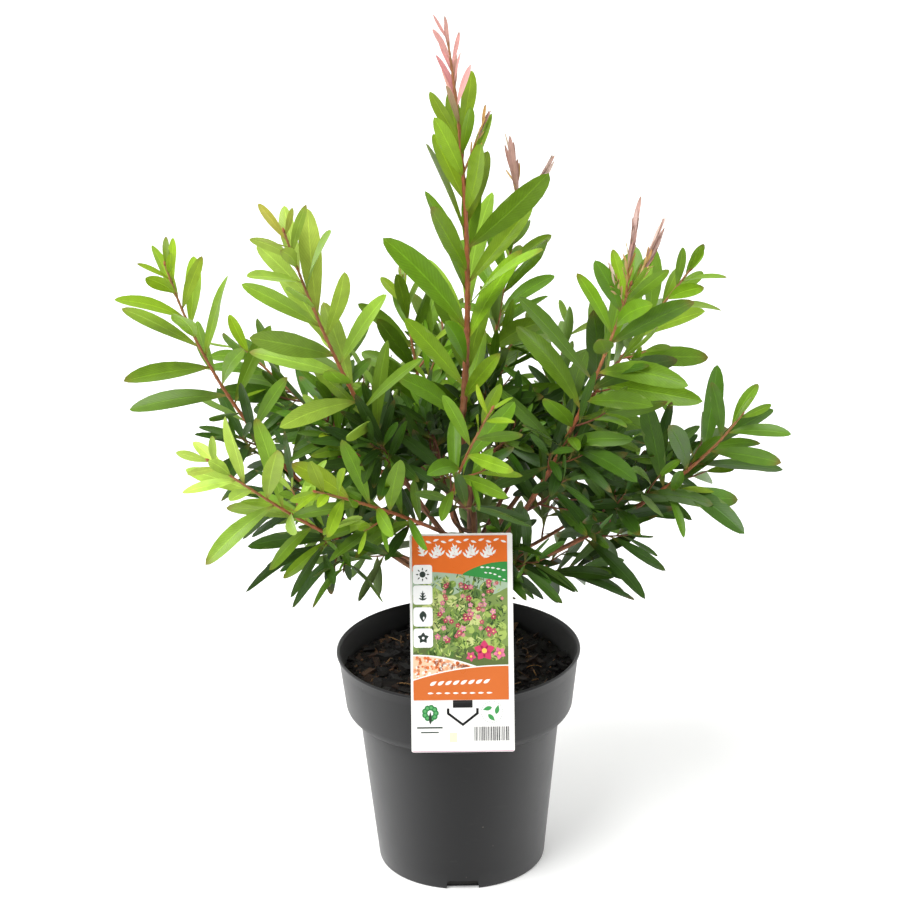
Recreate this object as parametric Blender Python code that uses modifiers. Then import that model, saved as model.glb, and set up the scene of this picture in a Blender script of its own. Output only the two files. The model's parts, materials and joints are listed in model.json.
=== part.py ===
"""Bottlebrush shrub in a nursery pot, with its plant label.

The tables and constants are millimetres and degrees, and MM turns a length to
metres when a mesh is made. +Z is up, the pot stands on the origin, and -Y is
the side that the label faces.

The shrub is a tree of limbs. Each limb is one curve that starts inside its
parent: its bare first stretch is a bough, and its leafy rest is the stem of a
mass of foliage. A seeded rule sets twigs and leaves along that stem.
"""
import math
from dataclasses import dataclass

import bmesh
import bpy
import numpy as np
from mathutils import Matrix, Vector
from mathutils.bvhtree import BVHTree

MM = 0.001
GAP = 0.3                     # clearance between neighbouring pieces
DOWN = np.array((0.0, 0.0, -1.0))
GOLDEN = math.radians(137.508)
WELD = 0.001

# Base colour and roughness
FINISHES = {
    "moulded_polypropylene": ((0.055, 0.055, 0.057), 0.5),
    "composted_bark": ((0.018, 0.012, 0.009), 0.95),
    "printed_polypropylene": ((0.85, 0.85, 0.83), 0.4),
    "brown_bark": ((0.26, 0.12, 0.06), 0.8),
    "leathery_leaf": ((0.13, 0.26, 0.035), 0.45),
}

# Pot: a moulded nursery pot with a collar, a rolled lip and open slots at its foot
RIM_RADIUS = 100.0
POT_HEIGHT = 187.0
LIP = 2.6                     # height of the rolled lip
LIP_OUTER = ((-1.3, 0.0), (-0.3, -0.5), (0.0, -1.3), (-0.3, -2.2))   # from the rim's top edge
LIP_INNER = (-2.4, -0.5)
LIP_STAND = 1.6               # how far the lip stands out from the collar
COLLAR_RADIUS = 93.5          # at the collar's lower edge
COLLAR_FOOT = 142.0
BODY_RADIUS = 82.5            # just under the collar
BODY_TOP = 132.0
BASE_RADIUS = 69.0
FOOT_EDGE = ((0.6, 3.0), (-1.0, 0.0))     # radius beside the base's, and height
WALL = 1.8
FLOOR = 3.0
POT_SIDES = 36
STEP_ANGLES = (30.0, 60.0, 90.0)
STEP_LIFT = 0.6               # of the wall, that the step's inner side lies higher
SLOTS = 3
SLOT_WIDTH = 26.0
SLOT_HEIGHT = 8.0
SLOT_DEPTH = 16.0
SLOT_OUT = 2.0                # its middle, beyond the base's radius

# Potting mix
SOIL_LEVEL = 167.0
SOIL_RINGS = (22.0, 45.0, 68.0, 86.0)     # level ground inside the first ring
SOIL_BUMP = 2.2
SOIL_DIP = 1.0                # the top's outer edge, below its level
SOIL_SIDES = 24
SOIL_SEED = 4

# Plant label: a plate that leans back on the lip
LABEL_WIDTH = 81.0
LABEL_LENGTH = 171.5
LABEL_THICK = 0.8
LABEL_LEAN = 22.0
LABEL_ROLL = -0.4
LABEL_SHIFT = 2.4             # its middle, right of the pot's middle
LABEL_BELOW = 40.2            # its length below the lip, along the plate
LABEL_CORNER = 1.5
WINDOW = (15.5, 6.0)          # the slit that the lip shows through
WINDOW_CORNER = 0.5
WINDOW_TOP = 0.4              # above the lip, along the plate
TONGUE = (25.0, 14.0)         # width and depth of the V cut under it
TONGUE_TOP = -6.0
TONGUE_SIDE = 4.5             # the upright ends of the V
CUT = 2.0                     # width of the V cut

# Limbs
TRUNK_FOOT = (1.0, 0.0, 160.0)
TRUNK_BEND = (22.0, 0.0, 280.0)
TRUNK_TOP = (6.0, 0.0, 380.0)
TRUNK_RADIUS = (5.4, 2.9)     # above the root flare, and at the top
FLARE = 4.2                   # added at the foot, and fading upwards
FLARE_FADE = 9.0
TRUNK_PIECES = 14             # closer together at the foot
TRUNK_CROWD = 1.3
TRUNK_SIDES = 2               # bevel steps: an octagon
TWIG_RADIUS = 0.9
TWIG_TIP = 0.6
TIP_RADIUS = 0.75
TUBE_STEP = 25.0              # length of a limb's straight pieces
BOUGH_SIDES = 1               # bevel steps: a hexagon
TWIG_SIDES = 0                # and a square

# Leaves: share of the length, and share of the full width there
BLADE_LARGE = ((0.40, 0.86), (0.72, 0.96))
BLADE_SMALL = ((0.60, 1.0),)
LARGE_LEAF = 70.0             # a shorter leaf has one station instead of two
LEAF_THICK = 0.8
LEAF_THICK_SHARE = 0.012
LEAF_SLIM = 0.19              # full width as a share of the length
ROOT_WIDTH = 0.9              # of a leaf's root, beside its stem's radius
ROOT_THICK = 0.4
TWIG_LEAF = 0.62              # a twig's leaves and their distance, beside the stem's
TWIG_GAP = 1.35
NECK = 0.35                   # share of the way to the first station where leaves may cross
CLEARANCE = 0.45
TURNS = (0.0, 16.0, -16.0, 32.0, -32.0)   # a leaf that touches something tries these

# Spread of the leaves about the rule, as one standard deviation
TURN_SPREAD = 13.0
OPEN_SPREAD = 6.0
TWIST_SPREAD = 30.0
LENGTH_SPREAD = 0.1
WIDTH_SPREAD = 0.08
SAG_SPREAD = 0.5

# The rule along a stem
BARE = 4.0                    # before the first leaf
TWIG_BARE = 5.0
CROWD_FROM = 0.6              # share of the stem where the leaves start to crowd
CROWD = 0.5                   # and how much closer they stand at its tip
CLOSE_POWER = 1.5             # how late the leaves close up to the stem
RISE = (0.8, 0.25)            # length of the first leaves, and the share where they are full
LIFT = 0.35                   # how far a blade's upper side turns to the stem's tip
FACE_UP = 0.4                 # and how far it turns up, beside its side along Y

# The rule for the twigs of a stem
TWIG_FIRST = 0.06             # share of the stem at the first twig
TWIG_RANGE = 0.55             # and the range that they share
TWIG_HEADING = (0.62, 0.78)   # along the stem, and away from it
TWIG_UP = 0.35                # turned along the stem at its tip
TWIG_FADE = 0.12              # each is this much shorter than the one before
TWIG_SPREAD = 0.12
TWIG_TURN = 60.0
TWIG_TURN_SPREAD = 0.4


@dataclass
class Limb:
    """One curve from inside its parent to a tip, with the rule for its leaves."""

    name: str
    parent: str
    fork: float               # share of the parent's curve where it starts
    bend: tuple               # control point of the curve
    tip: tuple
    leafy: float              # share of the curve where the mass begins
    seed: int
    phase: float              # direction of the first leaf
    leaf: float               # length of a full leaf
    hand: int = 1             # way that the leaves wind
    gap: float = 9.0          # distance between leaves
    open: float = 62.0        # angle from the stem, at its foot
    close: float = 30.0       # and at its tip
    fade: float = 0.6         # where the leaves start to shorten
    top: float = 0.38         # share of their length at the tip
    sag: float = 0.3          # droop of a level leaf's tip, share of its length
    twigs: int = 1
    twig: float = 34.0
    face: float = -1.0        # side that the blades turn to, along Y
    radius: float = 2.3       # at its foot
    bough: bool = True        # False where the mass starts at the parent


LIMBS = (
    Limb(
        "leader", "trunk", 1.00, (21.0, -3.0, 537.0), (0.0, -6.0, 691.0), 0.00,
        seed=20, phase=315.0, leaf=94.0, hand=-1, gap=9.5, open=44.0, close=14.0, fade=0.35,
        top=0.25, sag=0.25, twigs=0, radius=2.8, bough=False,
    ),
    Limb(
        "left_outer", "trunk", 0.30, (-172.0, -23.0, 340.0), (-219.0, -30.0, 525.0), 0.58,
        seed=54, phase=75.0, leaf=66.0, open=59.0, twigs=0, radius=2.6,
    ),
    Limb(
        "left_mid", "trunk", 0.42, (-77.0, -67.0, 397.0), (-123.0, -95.0, 568.0), 0.42,
        seed=24, phase=255.0, leaf=80.0, hand=-1, open=53.0, twigs=0, radius=2.4,
    ),
    Limb(
        "left_low", "left_outer", 0.22, (-81.0, -87.0, 302.0), (-184.0, -125.0, 400.0), 0.42,
        seed=7, phase=255.0, leaf=64.0, gap=8.5, radius=2.0,
    ),
    Limb(
        "front_left", "trunk", 0.50, (-39.0, -73.0, 336.0), (-104.0, -145.0, 382.0), 0.36,
        seed=55, phase=75.0, leaf=56.0, gap=8.5, twigs=0, radius=1.9,
    ),
    Limb(
        "front_mid", "trunk", 0.56, (-27.0, -65.0, 321.0), (28.0, -110.0, 432.0), 0.45,
        seed=55, phase=270.0, leaf=50.0, hand=-1, twigs=0, radius=1.8,
    ),
    Limb(
        "right_main", "trunk", 0.38, (86.0, -51.0, 353.0), (135.0, -58.0, 511.0), 0.50,
        seed=33, phase=270.0, leaf=84.0, gap=8.5, radius=2.8,
    ),
    Limb(
        "right_back", "trunk", 0.44, (80.0, 72.0, 335.0), (194.0, 92.0, 477.0), 0.42,
        seed=38, phase=195.0, leaf=78.0, gap=9.5, open=65.0, twigs=0, radius=2.4,
    ),
    Limb(
        "right_outer", "trunk", 0.34, (168.0, -43.0, 320.0), (223.0, -44.0, 400.0), 0.50,
        seed=18, phase=225.0, leaf=76.0, gap=8, open=63.0, twigs=2, radius=2.5,
    ),
    Limb(
        "back_right", "trunk", 0.57, (14.0, 60.0, 332.0), (50.0, 88.0, 507.0), 0.36,
        seed=23, phase=255.0, leaf=76.0, gap=9.5, open=68.0, radius=2.2,
    ),
    Limb(
        "back_left", "trunk", 0.46, (-22.0, 68.0, 322.0), (-40.0, 95.0, 468.0), 0.36,
        seed=24, phase=210.0, leaf=66.0, gap=9.5, open=50.0, twigs=0, radius=2.0,
    ),
    Limb(
        "far_left", "left_mid", 0.20, (-70.0, 62.0, 325.0), (-172.0, 90.0, 418.0), 0.50,
        seed=43, phase=75.0, leaf=66.0, hand=-1, gap=9.5, open=44.0, radius=2.0,
    ),
    Limb(
        "inner_left", "left_mid", 0.30, (-80.0, -33.0, 365.0), (-106.0, -30.0, 404.0), 0.35,
        seed=56, phase=45.0, leaf=42.0, hand=-1, gap=7.5, open=68.0, twigs=2, twig=30.0, radius=1.6,
        bough=False,
    ),
    Limb(
        "inner_mid", "trunk", 0.76, (-24.0, 6.0, 350.0), (-45.0, 10.0, 386.0), 0.30,
        seed=18, phase=120.0, leaf=46.0, hand=-1, gap=8, twigs=3, radius=1.6, bough=False,
    ),
    Limb(
        "inner_centre", "trunk", 0.83, (36.0, 6.0, 353.0), (52.0, 10.0, 371.0), 0.25,
        seed=56, phase=90.0, leaf=48.0, hand=-1, gap=8, twigs=3, radius=1.6, bough=False,
    ),
    Limb(
        "inner_right", "right_main", 0.30, (91.0, -10.0, 327.0), (114.0, 0.0, 353.0), 0.25,
        seed=49, phase=300.0, leaf=50.0, gap=8, open=71.0, twigs=3, twig=36.0, radius=1.6,
        bough=False,
    ),
    Limb(
        "right_low", "right_outer", 0.35, (141.0, 3.0, 311.0), (161.0, 20.0, 344.0), 0.30,
        seed=34, phase=60.0, leaf=48.0, gap=8, twigs=2, radius=1.6, bough=False,
    ),
    Limb(
        "droop_left", "left_outer", 0.30, (-100.0, -48.0, 295.0), (-108.0, -70.0, 300.0), 0.25,
        seed=4, phase=75.0, leaf=52.0, gap=8, open=78.0, close=50.0, sag=0.8, twigs=2, radius=1.6,
        bough=False,
    ),
    Limb(
        "droop_right", "right_outer", 0.10, (87.0, 6.0, 245.0), (115.0, 15.0, 250.0), 0.25,
        seed=57, phase=150.0, leaf=58.0, hand=-1, gap=7, open=57.0, close=40.0, sag=0.8, twig=30.0,
        radius=1.6, bough=False,
    ),
    Limb(
        "low_centre", "trunk", 0.31, (20.0, -24.0, 250.0), (54.0, -34.0, 284.0), 0.30,
        seed=15, phase=45.0, leaf=46.0, hand=-1, gap=7.5, open=75.0, close=50.0, sag=0.6, twigs=2,
        twig=30.0, radius=1.6, bough=False,
    ),
    Limb(
        "rear_mid", "trunk", 0.70, (-2.0, 99.0, 354.0), (-10.0, 160.0, 430.0), 0.40,
        seed=59, phase=270.0, leaf=60.0, hand=-1, gap=11, open=56.0, face=1.0, radius=2.0,
    ),
    Limb(
        "rear_left", "trunk", 0.64, (-60.0, 96.0, 331.0), (-105.0, 155.0, 400.0), 0.40,
        seed=26, phase=120.0, leaf=60.0, hand=-1, gap=11, open=59.0, face=1.0, radius=2.0,
    ),
    Limb(
        "rear_right", "trunk", 0.49, (67.0, 99.0, 319.0), (100.0, 160.0, 410.0), 0.40,
        seed=22, phase=90.0, leaf=60.0, hand=-1, gap=11, face=1.0, radius=2.0,
    ),
    Limb(
        "rear_low_left", "trunk", 0.36, (-89.0, 68.0, 252.0), (-150.0, 110.0, 300.0), 0.40,
        seed=16, phase=270.0, leaf=54.0, hand=-1, gap=11, open=68.0, twigs=0, face=1.0, radius=2.0,
    ),
    Limb(
        "rear_low_right", "trunk", 0.40, (104.0, 71.0, 259.0), (160.0, 115.0, 305.0), 0.40,
        seed=38, phase=285.0, leaf=56.0, gap=11, open=59.0, twigs=0, face=1.0, radius=2.0,
    ),
    Limb(
        "rear_low", "trunk", 0.32, (13.0, 102.0, 250.0), (15.0, 165.0, 300.0), 0.40,
        seed=3, phase=30.0, leaf=52.0, gap=11, open=71.0, twigs=0, face=1.0, radius=2.0,
    ),
)


def unit(v):
    """Vectors scaled to length 1."""
    return v / np.maximum(np.linalg.norm(v, axis=-1, keepdims=True), 1e-9)


def dress(pieces, name):
    """Give pieces one Principled material with a plain finish."""
    colour, roughness = FINISHES[name]
    made = bpy.data.materials.new(name)
    made.use_nodes = True
    shader = made.node_tree.nodes["Principled BSDF"]
    shader.inputs["Base Color"].default_value = (*colour, 1.0)
    shader.inputs["Roughness"].default_value = roughness
    for piece in pieces:
        piece.data.materials.clear()
        piece.data.materials.append(made)


def collection(name):
    """A new collection in the scene."""
    made = bpy.data.collections.new(name)
    bpy.context.scene.collection.children.link(made)
    return made


def mesh_object(name, mesh, home):
    """An object for a mesh, in its collection."""
    made = bpy.data.objects.new(name, mesh)
    home.objects.link(made)
    return made


def evaluated_mesh(piece):
    """The mesh that a curve or a mesh with modifiers shows, with its doubles welded."""
    bpy.context.view_layer.update()
    graph = bpy.context.evaluated_depsgraph_get()
    mesh = bpy.data.meshes.new_from_object(piece.evaluated_get(graph), depsgraph=graph)
    work = bmesh.new()
    work.from_mesh(mesh)
    bmesh.ops.remove_doubles(work, verts=work.verts, dist=WELD * MM)
    work.to_mesh(mesh)
    work.free()
    return mesh


def settle(piece):
    """Replace a curve, or a mesh with modifiers, by a plain mesh object."""
    mesh = evaluated_mesh(piece)
    name, home, place = piece.name, piece.users_collection[0], piece.matrix_world.copy()
    bpy.data.objects.remove(piece)
    made = mesh_object(name, mesh, home)
    made.matrix_world = place
    return made


def is_closed(mesh):
    """Whether every edge of a mesh joins two faces."""
    work = bmesh.new()
    work.from_mesh(mesh)
    closed = all(len(edge.link_faces) == 2 for edge in work.edges)
    work.free()
    return closed


def drop_scraps(mesh):
    """Keep only the largest body of a mesh, counted in faces joined by edges."""
    work = bmesh.new()
    work.from_mesh(mesh)
    left = set(work.faces)
    bodies = []
    while left:
        body = {left.pop()}
        front = list(body)
        while front:
            face = front.pop()
            near = {other for edge in face.edges for other in edge.link_faces} & left
            left -= near
            body |= near
            front += near
        bodies.append(body)
    bodies.sort(key=len, reverse=True)
    scraps = [face for body in bodies[1:] for face in body]
    bmesh.ops.delete(work, geom=scraps, context="FACES")
    work.to_mesh(mesh)
    work.free()


def boolean(piece, operation, group):
    """Cut or join a piece with all objects of a collection, apply it and remove them."""
    for solver in ("EXACT", "MANIFOLD"):
        step = piece.modifiers.new(operation.title(), "BOOLEAN")
        step.operation = operation
        step.operand_type = "COLLECTION"
        step.collection = group
        step.solver = solver
        mesh = evaluated_mesh(piece)
        piece.modifiers.remove(step)
        if is_closed(mesh):
            break
    drop_scraps(mesh)
    piece.data = mesh
    for used in list(group.objects):
        bpy.data.objects.remove(used)
    return piece


def turned(name, profile, sides, home):
    """A solid of revolution: a profile from the axis back to the axis, turned about Z."""
    mesh = bpy.data.meshes.new(name)
    points = [(radius * MM, 0.0, height * MM) for radius, height in profile]
    mesh.from_pydata(points, [(k, k + 1) for k in range(len(points) - 1)], [])
    made = mesh_object(name, mesh, home)
    screw = made.modifiers.new("Turn", "SCREW")
    screw.steps = screw.render_steps = sides
    screw.use_merge_vertices = True
    screw.merge_threshold = 0.0001
    screw.use_smooth_shade = True
    return settle(made)


def box(name, size, place, angle, home):
    """A box round a place, turned about Z."""
    bpy.ops.mesh.primitive_cube_add(size=1.0)
    made = bpy.context.object
    made.name = name
    made.scale = Vector(size) * MM
    made.location = Vector(place) * MM
    made.rotation_euler.z = angle
    for former in list(made.users_collection):
        former.objects.unlink(made)
    home.objects.link(made)
    return made


def plate(name, outline, thick, home):
    """A flat plate: a closed 2D outline extruded to both sides of its plane."""
    flat = bpy.data.curves.new(name, "CURVE")
    flat.dimensions = "2D"
    flat.fill_mode = "BOTH"
    flat.extrude = thick / 2 * MM
    spline = flat.splines.new("POLY")
    spline.points.add(len(outline) - 1)
    for point, (x, y) in zip(spline.points, outline):
        point.co = (x * MM, y * MM, 0.0, 1.0)
    spline.use_cyclic_u = True
    made = bpy.data.objects.new(name, flat)
    home.objects.link(made)
    return settle(made)


def tube(name, points, radii, resolution, home):
    """A round limb: a bevelled curve whose radius changes from point to point."""
    line = bpy.data.curves.new(name, "CURVE")
    line.dimensions = "3D"
    line.bevel_depth = MM
    line.bevel_resolution = resolution
    line.use_fill_caps = True
    spline = line.splines.new("POLY")
    spline.points.add(len(points) - 1)
    for point, place, radius in zip(spline.points, points, radii):
        point.co = (*(place * MM), 1.0)
        point.radius = radius
    made = bpy.data.objects.new(name, line)
    home.objects.link(made)
    return settle(made)


def step_profile(inset, lift):
    """The quarter curve between the collar and the body, moved in and up for the inner side."""
    rise = COLLAR_FOOT - BODY_TOP
    reach = COLLAR_RADIUS - BODY_RADIUS
    return [
        (BODY_RADIUS - inset + reach * math.cos(a), COLLAR_FOOT + lift - rise * math.sin(a))
        for a in np.radians(STEP_ANGLES)
    ]


def outer_profile():
    """The pot's outer side, from the top of the lip down to the foot."""
    lip = [(RIM_RADIUS + out, POT_HEIGHT + up) for out, up in LIP_OUTER]
    collar = [(RIM_RADIUS - LIP_STAND, POT_HEIGHT - LIP), (COLLAR_RADIUS, COLLAR_FOOT)]
    foot = [(BASE_RADIUS + out, up) for out, up in FOOT_EDGE]
    return lip + collar + step_profile(0.0, 0.0) + foot


def inner_profile():
    """The pot's inner side, from the floor's edge up to the lip."""
    lean = (BODY_RADIUS - BASE_RADIUS) / BODY_TOP
    floor_edge = BASE_RADIUS + lean * FLOOR - WALL
    step = step_profile(WALL, STEP_LIFT * WALL)[::-1]
    collar = [
        (COLLAR_RADIUS - WALL, COLLAR_FOOT + STEP_LIFT * WALL),
        (RIM_RADIUS - LIP_STAND - WALL, POT_HEIGHT - LIP),
        (RIM_RADIUS + LIP_INNER[0], POT_HEIGHT + LIP_INNER[1]),
    ]
    return [(floor_edge, FLOOR)] + step + collar


def radius_at(profile, height):
    """A profile's radius at a height, read straight between its points."""
    heights = np.array([z for _, z in profile])
    radii = np.array([r for r, _ in profile])
    order = np.argsort(heights)
    return float(np.interp(height, heights[order], radii[order]))


def build_pot(parts, cutters):
    """The pot: a turned wall and floor, with slots cut through the wall at its foot."""
    profile = [(0.0, FLOOR)] + inner_profile() + outer_profile() + [(0.0, 0.0)]
    pot = turned("pot", profile, POT_SIDES, parts)
    for k in range(SLOTS):
        angle = math.radians(270.0 + 360.0 / SLOTS * k)
        out = BASE_RADIUS + SLOT_OUT
        place = (out * math.cos(angle), out * math.sin(angle), 0.0)
        size = (SLOT_DEPTH, SLOT_WIDTH, 2.0 * SLOT_HEIGHT)
        box(f"slot_{k + 1}", size, place, angle, cutters)
    return boolean(pot, "DIFFERENCE", cutters)


def build_mix(parts):
    """Potting mix that fills the pot, with a level patch round the trunk and a rough top."""
    flat = math.cos(math.pi / POT_SIDES)
    wall = [(r * flat - GAP, z + GAP) for r, z in inner_profile() if z < SOIL_LEVEL]
    edge = radius_at(inner_profile(), SOIL_LEVEL) * flat - 2 * GAP
    top = [(r, SOIL_LEVEL) for r in (0.0, *SOIL_RINGS)] + [(edge, SOIL_LEVEL - SOIL_DIP)]
    profile = [(0.0, FLOOR + GAP)] + wall + top[::-1]
    mix = turned("potting_mix", profile[::-1], SOIL_SIDES, parts)
    rng = np.random.default_rng(SOIL_SEED)
    for vertex in mix.data.vertices:
        radius = math.hypot(vertex.co.x, vertex.co.y) / MM
        if radius > SOIL_RINGS[0] + GAP and vertex.co.z > (SOIL_LEVEL - 2 * SOIL_DIP) * MM:
            vertex.co.z += rng.uniform(-SOIL_BUMP, SOIL_BUMP) * MM
    return mix


def rounded_outline(left, bottom, right, top, corner):
    """A rectangle with round corners, as a list of points."""
    points = []
    corners = (
        (right - corner, top - corner, 0.0),
        (left + corner, top - corner, 90.0),
        (left + corner, bottom + corner, 180.0),
        (right - corner, bottom + corner, 270.0),
    )
    for x, y, start in corners:
        for a in np.radians((start, start + 45.0, start + 90.0)):
            points.append((x + corner * math.cos(a), y + corner * math.sin(a)))
    return points


def build_label(parts, cutters):
    """The label: a thin plate that leans back on the lip, with its window and V cut."""
    half = LABEL_WIDTH / 2
    outline = rounded_outline(
        -half, -LABEL_BELOW, half, LABEL_LENGTH - LABEL_BELOW, LABEL_CORNER
    )
    label = plate("plant_label", outline, LABEL_THICK, parts)
    wide, high = WINDOW
    window = rounded_outline(-wide / 2, WINDOW_TOP - high, wide / 2, WINDOW_TOP, WINDOW_CORNER)
    out = TONGUE[0] / 2
    tongue = [
        (-out, TONGUE_TOP),
        (-out, TONGUE_TOP - TONGUE_SIDE),
        (0.0, TONGUE_TOP - TONGUE[1]),
        (out, TONGUE_TOP - TONGUE_SIDE),
        (out, TONGUE_TOP),
        (out - CUT, TONGUE_TOP),
        (out - CUT, TONGUE_TOP - TONGUE_SIDE + CUT / 2),
        (0.0, TONGUE_TOP - TONGUE[1] + CUT * 1.2),
        (CUT - out, TONGUE_TOP - TONGUE_SIDE + CUT / 2),
        (CUT - out, TONGUE_TOP),
    ]
    plate("window", window, 4 * LABEL_THICK, cutters)
    plate("tongue", tongue, 4 * LABEL_THICK, cutters)
    label = boolean(label, "DIFFERENCE", cutters)
    lean = math.radians(90.0 - LABEL_LEAN)
    bead = LIP / 2
    off = bead + GAP + LABEL_THICK / 2
    seat = Vector(
        (
            LABEL_SHIFT,
            -(RIM_RADIUS - bead) - off * math.sin(lean),
            POT_HEIGHT - bead + off * math.cos(lean),
        )
    )
    label.matrix_world = (
        Matrix.Translation(seat * MM)
        @ Matrix.Rotation(lean, 4, "X")
        @ Matrix.Rotation(math.radians(LABEL_ROLL), 4, "Z")
    )
    return label


def bezier(curve, t):
    """Points of a quadratic curve (start, bend, tip) at the shares t."""
    start, bend, tip = curve
    t = np.asarray(t, float)[..., None]
    return start * (1 - t) ** 2 + 2 * bend * t * (1 - t) + tip * t * t


def measured(curve, first=0.0, last=1.0, count=80):
    """Points between two shares of a curve, and the length along it to each."""
    points = bezier(curve, np.linspace(first, last, count))
    steps = np.linalg.norm(np.diff(points, axis=0), axis=1)
    return points, np.concatenate([[0.0], np.cumsum(steps)])


def along(line, lengths):
    """Points of a measured line at given lengths."""
    points, run = line
    return np.stack([np.interp(lengths, run, points[:, k]) for k in range(3)], -1)


def limb_curves():
    """The curve of the trunk and of each limb, in millimetres."""
    curves = {"trunk": tuple(np.array(p) for p in (TRUNK_FOOT, TRUNK_BEND, TRUNK_TOP))}
    for limb in LIMBS:
        start = bezier(curves[limb.parent], limb.fork)
        curves[limb.name] = (start, np.array(limb.bend), np.array(limb.tip))
    return curves


def frame_of(heading, face):
    """Two directions square to each heading: one towards the face, and one aside."""
    near = unit(face - (heading @ face)[..., None] * heading)
    return near, np.cross(heading, near)


def place_leaves(line, limb, rng, size, gap, bare, phase, hand, girth):
    """Leaves along a stem: each turns by the golden angle and opens less towards the tip."""
    total = line[1][-1]
    lengths = []
    length = bare
    while length < total:
        lengths.append(length)
        length += gap * (1.0 - CROWD * max(0.0, (length / total - CROWD_FROM) / (1 - CROWD_FROM)))
    lengths = np.array(lengths)
    count = len(lengths)
    share = lengths / total
    draw = rng.normal(0.0, 1.0, (count, 6))
    heading = unit(
        along(line, np.minimum(lengths + 1.0, total)) - along(line, np.maximum(lengths - 1.0, 0.0))
    )
    face = unit(np.array((0.0, limb.face, FACE_UP)))
    near, aside = frame_of(heading, face)
    turn = np.radians(phase + TURN_SPREAD * draw[:, 0]) + hand * GOLDEN * np.arange(count)
    opened = limb.open + (limb.close - limb.open) * share**CLOSE_POWER
    rise = np.minimum(1.0, RISE[0] + (1.0 - RISE[0]) * share / RISE[1])
    fall = 1.0 - (1.0 - limb.top) * np.clip((share - limb.fade) / (1.0 - limb.fade), 0.0, 1.0)
    reach = size * np.minimum(rise, fall) * np.exp(LENGTH_SPREAD * np.clip(draw[:, 2], -2.0, 2.0))
    return {
        "root": along(line, lengths),
        "heading": heading,
        "near": near,
        "aside": aside,
        "turn": turn,
        "spread": np.radians(opened + OPEN_SPREAD * draw[:, 1]),
        "length": reach,
        "width": reach * LEAF_SLIM * np.exp(WIDTH_SPREAD * draw[:, 3]),
        "twist": np.radians(TWIST_SPREAD * draw[:, 4]),
        "sag": limb.sag * (1.0 + SAG_SPREAD * np.clip(draw[:, 5], -1.5, 1.5)),
        "face": np.broadcast_to(face, (count, 3)),
        "girth": girth[0] + (girth[1] - girth[0]) * share,
    }


def leaf_solid(leaves, k, swing=0.0, swell=0.0, blade_only=False):
    """One leaf's vertices and triangles: triangular sections from a sunken root to a point."""
    heading = leaves["heading"][k]
    turn = leaves["turn"][k] + swing
    spread = leaves["spread"][k]
    length = leaves["length"][k]
    aside = math.cos(turn) * leaves["near"][k] + math.sin(turn) * leaves["aside"][k]
    ahead = unit(math.cos(spread) * heading + math.sin(spread) * aside)
    natural = unit(heading - (heading @ ahead) * ahead)
    facing = unit(leaves["face"][k] - (leaves["face"][k] @ ahead) * ahead)
    twist = leaves["twist"][k]
    upper = math.cos(twist) * facing + math.sin(twist) * np.cross(ahead, facing)
    upper = unit(upper + LIFT * natural)
    upper = unit(upper - (upper @ ahead) * ahead)
    edge = unit(np.cross(ahead, upper))
    fall = unit(DOWN - (DOWN @ ahead) * ahead)
    droop = 0.5 * leaves["sag"][k] * math.hypot(ahead[0], ahead[1])
    thick = max(LEAF_THICK, LEAF_THICK_SHARE * length)
    blade = BLADE_LARGE if length >= LARGE_LEAF else BLADE_SMALL
    girth = leaves["girth"][k]
    stations = [(0.0, ROOT_WIDTH * girth, ROOT_THICK * girth)]
    stations += [(t, share * leaves["width"][k], thick) for t, share in blade]
    if blade_only:
        stations[0] = tuple(a + (b - a) * NECK for a, b in zip(stations[0], stations[1]))
    points = []
    for t, width, depth in stations:
        middle = leaves["root"][k] + length * (t * ahead + droop * t * t * fall)
        half = width / 2 + swell
        points += [
            middle + half * edge + swell * upper,
            middle - half * edge + swell * upper,
            middle - (depth + swell) * upper,
        ]
    points.append(leaves["root"][k] + length * (ahead + droop * fall) + swell * ahead)
    faces = [(0, 1, 2)]
    for ring in range(0, 3 * (len(stations) - 1), 3):
        for a, b in ((1, 0), (0, 2), (2, 1)):
            faces.append((ring + a, ring + b, ring + 3 + b))
            faces.append((ring + a, ring + 3 + b, ring + 3 + a))
    last = 3 * (len(stations) - 1)
    tip = last + 3
    faces += [(last + 1, last, tip), (last, last + 2, tip), (last + 2, last + 1, tip)]
    return np.array(points), faces


def touches(points, faces, trees):
    """Whether a solid crosses any of the solids in a list of trees."""
    own = BVHTree.FromPolygons([tuple(p) for p in points], faces, all_triangles=True)
    return any(own.overlap(tree) for tree in trees)


def tree_of(piece):
    """A search tree of a piece's triangles, in millimetres."""
    piece.data.calc_loop_triangles()
    points = [tuple(piece.matrix_world @ v.co / MM) for v in piece.data.vertices]
    faces = [tuple(t.vertices) for t in piece.data.loop_triangles]
    return BVHTree.FromPolygons(points, faces, all_triangles=True)


def stem_radius(limb, share):
    """A limb's radius at a share of its curve: an even taper to the tip."""
    return limb.radius + (TIP_RADIUS - limb.radius) * np.asarray(share)


def limb_tube(name, curve, limb, first, last, sides, home, swell=0.0):
    """A stretch of a limb as a tapering tube."""
    line = measured(curve, first, last)
    count = max(5, math.ceil(line[1][-1] / TUBE_STEP) + 1)
    shares = np.linspace(first, last, count)
    return tube(name, bezier(curve, shares), stem_radius(limb, shares) + swell, sides, home)


def share_after(curve, share, length):
    """The share of a curve that lies a short length beyond another."""
    points = bezier(curve, np.array((share, min(share + 0.01, 1.0))))
    return share + 0.01 * length / np.linalg.norm(points[1] - points[0])


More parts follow.
